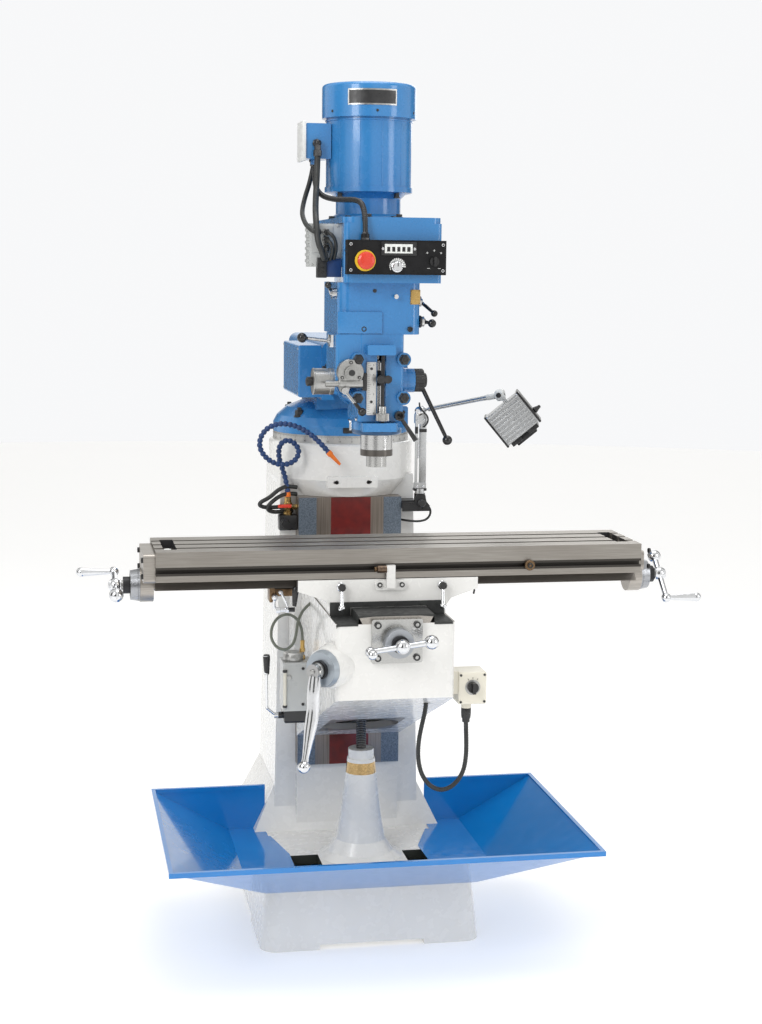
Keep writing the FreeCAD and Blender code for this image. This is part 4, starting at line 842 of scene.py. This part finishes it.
oil = Shape()
oil.lathe([(0, 0), (27, 0), (28, 2), (28, 16), (26.5, 19), (18, 21), (17, 24.6), (0, 24.6)],
          (-198, -276, 772), UP, 48, knurl(36, 0.012))
oil.lathe([(0, 0), (7, 0), (7, 2), (4, 2.6), (0, 2.6)], (-214, -310, 732), FRONT, 24)
oil.use(1)
oil.lathe(disc(4.6, 96), (-226, -312, 652), UP, 20)
oil.use(2)
for z in (648, 746):
    oil.lathe(disc(6.5, 6), (-226, -312, z), UP, 6)
cap_screws(oil, (-176,), -310, (655, 755), 4, 3)
piece("oil_pump_details", oil, "knee", "steel", satin, cream, oxide)
turned("oil_union", "knee", "steel", brass,
       ([(0, 0), (8, 0), (8, 10), (6, 12), (6, 20), (8, 22), (8, 30), (5.6, 32), (5.6, 52),
         (0, 52)], (-173, -276, 774), UP, 6))
turned("pump_grip", "oil_pump_lever", "black_plastic", plastic,
       ([(0, 0), (6.5, 0), (7.5, 6), (9.6, 40), (9.8, 50), (8, 55), (0, 56)], (-273, -286, 737),
        (-1, -3, 52), 28))

plate = Shape()
cap_screws(plate, (175, 237), -705, (745, 815), 3.2, 1.6)
plate.use(1)
plate.lathe(disc(20, 0.8), (206, -705, 783), FRONT, 40)
plate.use(0)
for angle in (60, 90, 120):
    a = math.radians(angle)
    out = Vector((math.cos(a), 0, math.sin(a)))
    stroke(plate, Vector((206, -706, 783)) + out * 24, out, FRONT, 5, 1.2)
piece("switch_plate", plate, "knee", "black_steel", oxide, satin)

# ---------------------------------------------------- saddle and table details

plate = Shape()
outline = [(-153, 961.9), (-100, 961.9), (-100, 983.6), (100, 983.6), (100, 961.9), (146, 961.9),
           (146, 997), (-153, 997)]
plate.prism([(x, -626, z) for x, z in outline], (0, 3.6, 0))
cap_screws(plate, (-128, -60, 20, 84, 126), -626, (990,), 3.4, 1.6)
piece("saddle_wiper", plate, "saddle", "rubber", rubber)

foot = Shape()
cap_screws(foot, (-25, 33), -630, (1041,), 6.6, 5.2)
foot.use(1)
foot.lathe([(0, 0), (6, 0), (7, 2), (7, 7), (0, 8)], (-33.5, -637, 1083), -RIGHT, 24)
piece("stop_screws", foot, "saddle", "black_steel", oxide, bronze)
for label, x in (("table_lock_left", -124), ("table_lock_right", 140)):
    lock = Shape()
    lock.lathe([(0, 0), (11.5, 0), (12, 1), (12, 6), (10, 8), (9.4, 8.4)], (x, -622.4, 1037), FRONT,
               32)
    lock.use(1)
    lock.lathe([(9.4, 8), (9.4, 20), (8, 22.6), (0, 23)], (x, -622.4, 1037), FRONT, 32,
               knurl(24, 0.03))
    piece(label + "_hub", lock, label, "chrome", chrome, oxide)
side = Shape()
side.box((-298, -548, 986), (-284, -500, 1034), 2)
side.box((-286, -540, 1000), (-236, -506, 1020), 3)
side.use(1)
side.ball(8.4, (-286, -562, 1002))
side.tube([(-286, -562, 1002), (-288, -556, 984), (-286, -552, 972)], 4.2)
side.ball(6.4, (-272, -566, 1016))
side.tube([(-272, -566, 1016), (-262, -566, 998), (-254, -564, 978)], 3.4)
side.lathe([(0, 0), (8, 0), (8, 12), (5.4, 13), (5.4, 26), (8, 27), (8, 34), (0, 34)],
           (-284, -556, 968), RIGHT, 6)
side.use(2)
side.lathe([(0, 0), (5.4, 0), (8.6, 34), (8.8, 46), (6, 51), (0, 52)], (-240, -592, 984),
           Vector((3, -2, 46)), 24)
side.lathe(disc(6, 16), (-250, -556, 968), RIGHT, 20)
piece("saddle_oiler", side, "saddle", "ground_iron", bronze, chrome, plastic)
fitting = Shape()
fitting.lathe([(0, 0), (7, 0), (7, 8), (5, 9), (5, 15), (7, 16), (7, 22), (4, 24), (0, 24)],
              (235, -470, 1002), RIGHT, 6)
fitting.use(1)
fitting.tube([(256, -470, 1002), (262, -470, 1000), (264, -468, 992), (263, -464, 982)], 2.6)
piece("saddle_union", fitting, "saddle", "steel", brass, oxide)

ends = Shape()
for end, away in TABLE_ENDS:
    for y in (-95, 75):
        for z in (37, 79):
            cap_screw(ends.use(0), end + Vector((0, y, z)) + away * 29.6, away, 7, 6)
    cap_screw(ends.use(1), end + away * 96, away, 7.5, 5)
piece("bracket_cap_screws", ends, "table", "black_steel", oxide, steel)
turned("well_plug", "table", "white_paint", white_plastic,
       ([(0, 0), (9.5, 0), (9.5, 14), (10, 15), (9.6, 17.2), (6, 18), (0, 18)],
        (-560, -548, 1113.4), UP, 32))
dogs = Shape()
dogs.lathe([(0, 0.2), (12.4, 0.2), (13.6, 1.4), (13.6, 11), (12.4, 12.4), (0, 12.4)],
           (371, -622, 1084), FRONT, 40)
dogs.use(1)
cap_screw(dogs, (371, -634, 1084), FRONT, 7, 6)
piece("dog_caps", dogs, "table", "black_steel", bronze, oxide)
for side, (end, away) in zip(("left", "right"), TABLE_ENDS):
    dial_marks(side + "_dial_marks", "table_feed", end + away * 40.4, away, 41.6, 9, 100, False)

# --------------------------------------------------- turret, ram and cabinet

clamps = Shape()
for degree in (-52, 52, 128, 232):
    at = TURRET_AXIS + polar(degree) * 176 + UP * 1416
    hex_nut(clamps, at, UP, 13, 20)
    clamps.lathe([(0, 18), (6.5, 18), (6.5, 27), (5.6, 28), (0, 28)], at, UP, 20)
clamps.box((-26, -46.5, 1376), (22, -42.6, 1392), 2)
piece("turret_clamps", clamps, "turret", "black_steel", oxide)

RIVET = [(0, 0), (4, 0), (3, 1.4), (0, 1.6)]
case = Shape()
for z in range(1858, 1946, 16):
    case.box((-186, -428, z - 0.4), (-181.4, -374, z + 7.4), 1.2)
case.box((-178, -438.6, 1882), (-122, -435.4, 1952), 1.4)
for z in (1852, 1951):
    for x in (-176, -108):
        case.lathe(RIVET, (x, -436, z), FRONT, 16)
case.use(1)
for x, z in ((-140, 1935), (-140, 1915), (-140, 1895), (-161, 1935)):
    case.lathe([(8.6, 0), (10, 0), (10, 7), (9, 8), (9, 15), (7.4, 17), (0, 17.4)],
               (x, -436, z), FRONT, 6)
case.box((-164, -458, 1818), (-140, -424, 1870), 2)
case.use(2)
case.box((-140.4, -452, 1820), (-101, -424, 1868), 2)
case.use(1)
cap_screws(case, (-152,), -458, (1832, 1844, 1856), 4, 1.6)
piece("cabinet_details", case, "head", "grey_paint", louvre_grey, plastic, navy)
turned("side_cover_screws", "ram", "grey_paint", satin,
       *[(RIVET, (-160, y, z), -RIGHT, 16) for y in (-70, 230) for z in (1492, 1618)])
pins = Shape()
for x, away in ((-96, -RIGHT), (96, RIGHT)):
    hex_nut(pins, (x, -180, 1561), away, 17, 12)
piece("nod_nuts", pins, "ram_adapter", "black_steel", oxide)

# ------------------------------------------------------------- head castings

bolts = Shape()
for x in (-64, 57):
    for z in (1510, 1610):
        bolts.lathe([(0, 0), (13.5, 0), (13.5, 2.6), (11.6, 3.4), (11.4, 11), (9.6, 14), (6, 15),
                     (5.6, 13), (0, 13)], (x, -506, z), FRONT, 36, knurl(6, 0.07))
cap_screws(bolts, (-48, 74), -490, (1688,), 7.2, 6)
obj = piece("head_clamp_bolts", bolts, "head", "black_steel", oxide)
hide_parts("head_bolts")

piece("head_step", Shape().box((-117, -495.6, 1676), (0, -486, 1733), 3), "head", "blue_paint",
      blue)

rule = Shape()
rule.box((-40.5, -497, 1465.5), (-14.5, -492.2, 1603.5), 1.2)
rule.use(1)
for n in range(27):
    z = 1470 + n * 5
    half = 3 if n % 5 else 5
    stroke(rule, (-38 + half, -497.1, z), RIGHT, FRONT, 2 * half, 0.6)
    if n % 5 == 0 and z < 1596:
        write(rule, str(n // 5), (-22, -497.12, z), RIGHT, UP, 7)
cap_screws(rule, (-27.5,), -497, (1500, 1586), 3.6, 1.4)
piece("depth_scale", rule, "head", "black_steel", bright_scale, ink)

thread = Shape()
thread.tube([(0, -510, z) for z in range(1424, 1644, 1)],
            [5.35 if n % 2 else 4.7 for n in range(220)], 20)
piece("stop_thread", thread, "head", "black_steel", oxide)
turned("stop_knob", "quill", "black_steel", oxide, *[
    ([(0, 0), (9.8, 0), (10.4, 1), (10.4, 9.4), (9.4, 10.4), (4, 10.8), (0, 9.8)],
     (x, -524, 1560), FRONT, 48, knurl(24, 0.04)) for x in (-8, 10)])
obj = turned("stop_nut", "depth_stop_nut", "steel", satin,
             ([(5.2, 0), (15.6, 0), (16.8, 1.4), (16.8, 18.6), (15.6, 20), (9.4, 20.6),
               (8.9, 23), (8.9, 37), (8, 38.2), (5.2, 38.2)], (0, -510, 1451), UP, 72,
              knurl(36, 0.03)))
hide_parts("depth_stop_nut")

feed = Shape()
for degree in (90, 210, 330):
    a = math.radians(degree)
    cap_screw(feed, FEED_HUB + Vector((26 * math.cos(a), -24.2, 26 * math.sin(a))), FRONT, 4.4,
              3.6)
feed.box((-53, -512, 1530), (-41.4, -492, 1575), 1.6)
feed.lathe([(0, 0), (11, 0), (12, 2), (12, 14), (9, 17), (0, 17)], (-174, -442, 1550), -RIGHT, 30)
feed.use(1)
feed.lathe([(33, 0), (34.6, 0.8), (34.6, 22), (33, 24)], FEED_HUB, FRONT, 56)
feed.lathe([(34, 0), (35, 1), (35, 6), (34, 7)], FEED_ROLL, -RIGHT, 56)
feed.lathe([(34, 45), (35, 46), (35, 49), (33, 50.6)], FEED_ROLL, -RIGHT, 56)
piece("feed_details", feed, "head", "black_steel", oxide, satin)
turned("feed_hub_cap", "feed_direction_knob", "black_steel", oxide,
       ([(0, 40.2), (7, 40.2), (8, 41.4), (8, 43.4), (0, 43.8)], FEED_HUB, FRONT, 30))
pin = Shape()
pin.tube([(-85, -492, 1453), (-85, -508, 1453), (-85, -514, 1451), (-85, -515, 1446),
          (-85, -515, 1428)], 3.2)
pin.lathe([(0, 0), (6, 0), (6, 3), (0, 3.4)], (-62, -470, 1453), -RIGHT, 20)
pin.tube([(-62, -470, 1453), (-78, -478, 1453), (-85, -494, 1453)], 3.2)
piece("chrome_pin", pin, "head", "chrome", chrome)

turned("pinion_boss", "head", "blue_paint", blue,
       ([(30, 0), (33.6, 0), (33.6, 20), (30, 30), (22, 46.2), (12, 46.4)], PINION, RIGHT, 56))
turned("pinion_hub", "quill_handle", "black_steel", oxide,
       ([(12, 0), (29, 0), (30, 1.4), (30, 23), (28, 25.4), (19, 26.4), (18.6, 32), (16, 34),
         (0, 34.6)], PINION + RIGHT * 47.4, RIGHT, 60, knurl(30, 0.022)))
turned("quill_lock_cap", "quill_lock", "black_steel", oxide,
       ([(0, 18), (12.4, 18), (12.6, 19), (12.6, 20.6), (8.6, 21.2), (8, 20), (0, 20)],
        (46, -492.4, 1464), FRONT, 36))
lug = Shape()
cap_screw(lug, (64, -464, 1470), FRONT, 5, 4)
piece("lug_screw", lug, "head", "black_steel", oxide)

plates = Shape()
plates.box((74, -492.4, 1752), (100, -489.6, 1790), 0.8)
plates.use(1)
plates.lathe([(0, 0), (4, 0), (4, 12), (6, 13), (6, 17), (0, 18)], (34, -490, 1772), FRONT, 24)
plates.use(2)
for x in (77, 97):
    for z in (1755, 1787):
        plates.lathe([(0, 0), (1.4, 0), (1, 0.8), (0, 0.9)], (x, -492.3, z), FRONT, 12)
plates.lathe([(0, 0), (5, 0), (5, 1), (0, 1.4)], (-20, -490, 1786), FRONT, 24)
piece("head_plate", plates, "head", "steel", brass, chrome, oxide)

lever_plates = Shape()
lever_plates.box((-132.5, -470, 1640), (-120.2, -430, 1672), 1.4)
lever_plates.lathe([(14, 0), (15.6, 0.8), (15.6, 10), (13, 12.4), (8, 13)], (-120.4, -450, 1656),
                   -RIGHT, 36)
piece("rate_plate", lever_plates, "feed_rate_lever", "chrome", chrome)
for label, y, z in (("back_gear_lever", -460, 1707), ("belt_tension_lever", -420, 1758)):
    turned(label + "_boss", label, "black_steel", oxide,
           ([(14, 0), (16, 0.8), (16, 4), (13, 7), (13, 12), (9, 13.4), (4, 13.6)],
            (104.4, y, z), RIGHT, 40))

# ------------------------------------------------------ motor and top of head

def wall_loop(grow, z):
    """The belt housing's outline, moved outwards, at a height."""
    return [Vector(p) for p in ((-110 - grow, -540 - grow, z), (146 + grow, -540 - grow, z),
                                (146 + grow, -90 + grow, z), (-62 - grow, -90 + grow, z))]


seams = Shape()
seams.rings([wall_loop(-2, 1887.6), wall_loop(0.9, 1888), wall_loop(0.9, 1890.4),
             wall_loop(-2, 1890.8)])
piece("belt_cover_seam", seams, "head", "blue_paint", blue)
bolt_row = Shape()
for x, y in ((-62, -318), (62, -318), (-94, -240), (94, -240), (40, -500), (-40, -500)):
    hex_nut(bolt_row, (x, y, 1973), UP, 8, 9)
piece("belt_cover_bolts", bolt_row, "head", "black_steel", oxide)

trim = Shape()
for z, profile in ((2045, [(115, 0), (118.9, 1), (119, 13), (115, 15)]),
                   (2232, [(115, 0), (118.6, 1), (118.6, 4), (115, 5)]),
                   (1973.2, [(88, 0), (96, 0), (96, 9), (90, 14), (88, 15)]),
                   (2029, [(88, 0), (100, 12), (115, 15.6)])):
    trim.lathe(profile, MOTOR_AXIS + UP * z, UP, 96)
for degree in range(8, 360, 30):
    base = MOTOR_AXIS + UP * 2062 + polar(degree) * 114.2
    turn = Matrix.Rotation(math.radians(degree), 3, "Z")
    trim.box(base - Vector((1.5, 2, 0)), base + Vector((1.5, 2, 168)), 0.8, turn, base)
piece("motor_trim", trim, "head", "blue_paint", blue)
heads = Shape()
for degree in (35, 125, 215, 305):
    hex_nut(heads, MOTOR_AXIS + UP * 2030 + polar(degree) * 107, UP, 7, 15)
for degree in (-60, 0, 60, 180):
    out = polar(degree)
    heads.lathe([(0, 0), (4, 0), (3.4, 1.6), (0, 2)], MOTOR_AXIS + UP * 2256 + out * 126.6, out,
                16)
piece("motor_bolts", heads, "head", "black_steel", oxide)


def curved_plate(shape, radius, low, high, swing, lift):
    """A plate wrapped on the motor cap: swing is half its angle, lift its thickness."""
    steps = 24
    middle = math.degrees(-0.10)
    outs = [polar(middle + math.degrees(swing) * (2 * i / steps - 1)) for i in range(steps + 1)]
    loops = [[MOTOR_AXIS + out * (radius + extra) + UP * z for out in outs]
             for z, extra in ((low, 0), (low, lift), (high, lift), (high, 0))]
    shape.rings(loops, closed=False)
    for loop_end in (0, steps):
        shape.grow([loop[loop_end] for loop in loops], [(0, 1, 2, 3)])


badge = Shape()
curved_plate(badge, 126.6, 2270, 2312, 0.53, 1.6)
badge.use(1)
curved_plate(badge, 128.0, 2274, 2308, 0.50, 1.0)
piece("blank_plate", badge, "head", "black_steel", satin, oxide)

terminal = Shape()
terminal.box((-178, -266, 2126), (-167.6, -164, 2231), 3)
for y in (-256, -174):
    for z in (2136, 2221):
        terminal.lathe([(0, 0), (4, 0), (3.2, 1.6), (0, 1.8)], (-178, y, z), -RIGHT, 16)
terminal.use(1)
for y in (-230, -206):
    terminal.lathe([(0, 0), (11, 0), (11.4, 6), (9, 7), (9, 16), (7, 18), (0, 18)],
                   (-140, y, 2132), -UP, 8)
terminal.lathe([(0, 0), (12, 0), (12, 6), (9, 8), (9, 16), (0, 16)], (-139, -260, 2172), FRONT, 8)
terminal.ball(10, (-139, -277, 2172))
terminal.lathe([(0, 0), (9, 0), (9, 18), (11.4, 19), (11.4, 34), (8.6, 36), (0, 36)],
               (-139, -277, 2172), -UP, 8)
piece("terminal_cover", terminal, "head", "white_paint", white_plastic, plastic)

CONDUIT = [(-140, -230, 2118), (-140, -230, 2084), (-139, -256, 2052), (-130, -304, 2032),
           (-108, -356, 2022), (-84, -408, 2020), (-68, -464, 2018), (-60, -520, 2008),
           (-58, -556, 1974), (-58, -556, 1930)]
line = centre_line(CONDUIT, 60)
conduit = Shape().tube(line, ribbed(line, 7.4, 6.2, 4.4), 18)
obj = piece("panel_conduit", conduit, "head", "rubber", plastic, crease=60)
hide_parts("motor_conduit")
turned("panel_gland", "head", "black_plastic", plastic,
       ([(0, 0), (12, 0), (12, 6), (10.4, 7), (10.4, 14), (9, 16), (8, 20), (0, 20)],
        (-58, -556, 1914), UP, 8))
HEAD_LEADS = {
    "motor_lead_a": (8.2, [
        (-139, -277, 2140), (-141, -282, 2092), (-146, -300, 2040), (-158, -372, 2004),
        (-167, -436, 1976), (-168, -464, 1936), (-165, -472, 1906), (-154, -472, 1882),
        (-148, -462, 1866)]),
    "motor_lead_b": (6.4, [
        (-140, -206, 2116), (-148, -210, 2076), (-166, -230, 2030), (-184, -300, 1990),
        (-190, -380, 1966), (-190, -440, 1950), (-180, -462, 1938), (-168, -462, 1935),
        (-161, -452, 1935)]),
    "cabinet_lead_a": (4.6, [(-140, -450, 1935), (-136, -466, 1934), (-122, -470, 1920),
                             (-116, -468, 1892), (-122, -456, 1866)]),
    "cabinet_lead_b": (4.6, [(-140, -450, 1915), (-138, -466, 1914), (-128, -472, 1900),
                             (-128, -468, 1880), (-132, -456, 1864)]),
    "cabinet_lead_c": (4.6, [(-140, -450, 1895), (-140, -464, 1894), (-146, -470, 1884),
                             (-142, -466, 1872), (-140, -456, 1862)]),
}
for name, (radius, route) in HEAD_LEADS.items():
    wire(name, route, radius, "head")

# -------------------------------------------------------------- control panel

front = Shape()
cap_screws(front, (-97, 141), -570, (1839, 1904), 4, 2.2)
front.use(1)
front.box((-20, -575.2, 1876), (72, -569.6, 1911), 2.4)
front.use(2)
front.box((-11, -576.2, 1882), (61, -574.8, 1905), 0.8)
front.use(1)
for n in range(5):
    front.box((-5 + n * 13, -576.8, 1886), (3 + n * 13, -576, 1898), 0.5)
front.use(5)
cap_screws(front, (-15.6, 66.4), -575.2, (1893,), 3.2, 2)
front.use(3)
front.lathe([(17.2, 0), (26, 0), (26.8, 1.2), (26.2, 4.6), (18.4, 5.2), (17.2, 4)],
            STOP_BUTTON, FRONT, 64)
front.use(4)
for n in range(14):
    a = math.radians(-112 + 15.5 * n)
    out = Vector((math.sin(a), 0, math.cos(a)))
    stroke(front, SPEED_KNOB + FRONT * 0.3 + out * 18, out, FRONT, 2 + n * 0.55, 4.0)
for x, z in ((100, 1884), (118, 1890), (136, 1884)):
    for along in (UP, RIGHT):
        stroke(front, (x, -570.3, z), along, FRONT, 5, 1.3)
for x in (104, 132):
    stroke(front, (x, -570.3, 1845), RIGHT, FRONT, 7, 1.1)
piece("panel_details", front, "head", "black_plastic", chrome, plastic, glass_finish(), yellow,
      white_plastic, chrome)
turned("stop_button", "emergency_stop", "red_plastic", red,
       ([(0, 12.4), (18.4, 12.4), (21.4, 13.4), (22.4, 15.6), (21.4, 20), (17.4, 23),
         (10, 24.4), (0, 24.8)], STOP_BUTTON, FRONT, 56))
dial = Shape()
dial.lathe([(0, 0), (14.4, 0), (14.6, 3), (12.6, 4), (11.6, 13.4), (10.4, 14.6), (0, 14.8)],
           SPEED_KNOB + FRONT * 0.6, FRONT, 60, knurl(20, 0.03))
dial.use(1)
dial.box((20.8, -586.2, 1849), (23.2, -584.6, 1861), 0.4)
piece("speed_dial", dial, "speed_knob", "black_plastic", chrome, plastic)

# ----------------------------------------------------------------- work lamp

arm = Shape()
arm.box((202.4, -25, 1230), (222.6, -15.4, 1398), 2)
arm.use(1)
arm.box((189.4, -24.8, 1372), (197.6, -15.2, 1392), 1)
arm.box((202, -25.4, 1376), (223, -15, 1386), 1)
arm.box((186, -30, 1206), (224, -10, 1214), 2)
arm.use(2)
arm.lathe(disc(3, 60), (200, -22, 1300), UP, 16)
cap_screws(arm, (196, 214), -29, (1219, 1411), 4, 3)
piece("lamp_arm_details", arm, "lamp_lower", "aluminium", lamp_finish(), oxide, chrome)
hinge = Vector((110, 207, 0))
at = Vector((205, -20, 1438))
turned("lamp_elbow_caps", "lamp_lower", "chrome", chrome, *[
    ([(0, 12), (13.4, 12), (13.4, 16), (10, 18), (4, 18.6), (0, 18.6)], at, away, 36)
    for away in (hinge, -hinge)])
wire("lamp_arm_lead", [(212, -34, 1392), (222, -44, 1404), (220, -52, 1424), (206, -52, 1438),
                       (196, -44, 1450), (198, -34, 1462)], 2.4, "lamp_lower")
joint = Shape()
wrist = Vector((412, -130, 1491))
heading = (wrist - at).normalized()
view_side = Vector((-0.5, -0.86, 0)).normalized()
joint.lathe([(0, -13), (12, -13), (16.4, -9), (17, -4), (17, 4), (16.4, 9), (12, 13), (0, 13)],
            wrist, heading, 44)
joint.lathe([(7.4, -40), (8.6, -38), (8.6, -14), (7.4, -12)], wrist, heading, 32)
# Painted shade: a black disc on the side toward the camera stands for the dark hole in the joint's
# eye.
joint.use(1)
joint.lathe([(0, 16), (7, 16), (7.4, 17), (7.4, 18.6), (0, 19)], wrist, view_side, 30)
piece("lamp_wrist", joint, "lamp_upper", "white_paint", white_plastic, plastic)

turn = Matrix.Rotation(math.radians(-15), 3, "Z") @ Matrix.Rotation(math.radians(50), 3, "Y")
centre = wrist + turn @ Vector((74, 0, -14))


def lamp_block(shape, low, high, bevel=1.0):
    low, high = Vector(low) + centre, Vector(high) + centre
    shape.box(low, high, bevel, turn, centre)


head = Shape()
for n in range(8):
    x = -45.5 + n * 13
    for y in (-58.6, 55.4):
        lamp_block(head, (x - 2.4, y, -51), (x + 2.4, y + 3.2, 51), 0.9)
head.use(1)
for low, high in ((-60.6, -54.6), (54.6, 60.6)):
    for y in (-59, 54):
        lamp_block(head, (-54, y, low), (54, y + 5, high), 1.6)
    for x in (-54, 49):
        lamp_block(head, (x, -56, low), (x + 5, 56, high), 1.6)
lamp_block(head, (-46, -50, 58.6), (46, 50, 61.4), 2)
for z in (-46, 12):
    lamp_block(head, (49.6, -57, z), (62, 57, z + 34), 2)
lamp_block(head, (49.6, -40, -34), (70, 40, 34), 3)
piece("lamp_fins", head, "lamp_head", "aluminium", lamp_finish(), plastic)
pane = Shape()
lamp_block(pane, (-46, -51, -59.8), (46, 51, -56), 1)
piece("lamp_pane", pane, "lamp_head", "white_paint", glass_finish())
turned("lamp_switch", "lamp_head", "black_plastic", plastic,
       ([(0, 0), (7, 0), (9, 4), (5, 16), (4, 22), (0, 23)],
        centre + turn @ Vector((20, -20, 61)), turn @ UP, 40, knurl(8)))

# ------------------------------------------------------------ floor and light

bm = bmesh.new()
bmesh.ops.create_circle(bm, cap_ends=True, segments=96, radius=14)
mesh = bpy.data.meshes.new("floor")
bm.to_mesh(mesh)
bm.free()
floor = placed("floor", mesh)
floor.location = (0, 0, -0.0006)
pale = Finish("studio_floor", (0.80, 0.80, 0.80), 0.7, specular=0.2)
pale.colour = pale.mottle(pale.colour, (0.79, 0.79, 0.79), 1.2, 3)
pale.shader.inputs["Emission Color"].default_value = (1, 1, 1, 1)
pale.shader.inputs["Emission Strength"].default_value = 0.34
floor.data.materials.append(pale.done())


def studio_world():
    """Pale to the camera; to reflections, a bright ceiling and walls with dark gaps."""
    world = bpy.data.worlds.new("studio")
    bpy.context.scene.world = world
    world.use_nodes = True
    sky = Graph(world.node_tree)
    sky.tree.nodes.clear()
    split = sky.make("ShaderNodeSeparateXYZ")
    sky.set(split.inputs[0], sky.make("ShaderNodeTexCoord").outputs["Generated"])
    around = sky.math("MULTIPLY", sky.math("ARCTAN2", split.outputs[0], split.outputs[1]), 5.0)
    walls = sky.spread(sky.math("SINE", around), 0.10, 0.95, -0.75, 0.1, "SMOOTHSTEP")
    height = sky.spread(split.outputs[2], 0.0, 1.0, 0.45, 0.85, "SMOOTHSTEP")
    both = sky.make("ShaderNodeMixShader")
    sky.set(both.inputs[0], sky.make("ShaderNodeLightPath").outputs["Is Camera Ray"])
    for socket, tone, strength in ((1, (1.0, 0.995, 0.975), sky.mixed(height, walls, 0.85)),
                                   (2, (0.955, 0.96, 0.97), 0.98)):
        light = sky.make("ShaderNodeBackground")
        sky.set(light.inputs["Color"], tone)
        sky.set(light.inputs["Strength"], strength)
        sky.set(both.inputs[socket], light.outputs[0])
    sky.set(sky.make("ShaderNodeOutputWorld").inputs[0], both.outputs[0])


studio_world()


def softbox(name, place, target, size, power):
    lamp = bpy.data.lights.new(name, "AREA")
    lamp.shape = "RECTANGLE"
    lamp.size, lamp.size_y = size
    lamp.energy = power
    aim(placed(name, lamp), place, target)


softbox("key", (-3.2, -3.6, 3.6), (0, -0.3, 1.2), (1.6, 2.4), 95)
softbox("fill", (3.6, -3.0, 2.2), (0, -0.3, 1.1), (1.2, 2.4), 38)
softbox("top", (0.2, -0.4, 5.0), (0, -0.3, 1.0), (2.4, 2.4), 62)
softbox("rim", (1.6, 3.4, 3.2), (0, 0, 1.4), (2.0, 1.6), 14)
bpy.context.scene.view_settings.view_transform = "Standard"
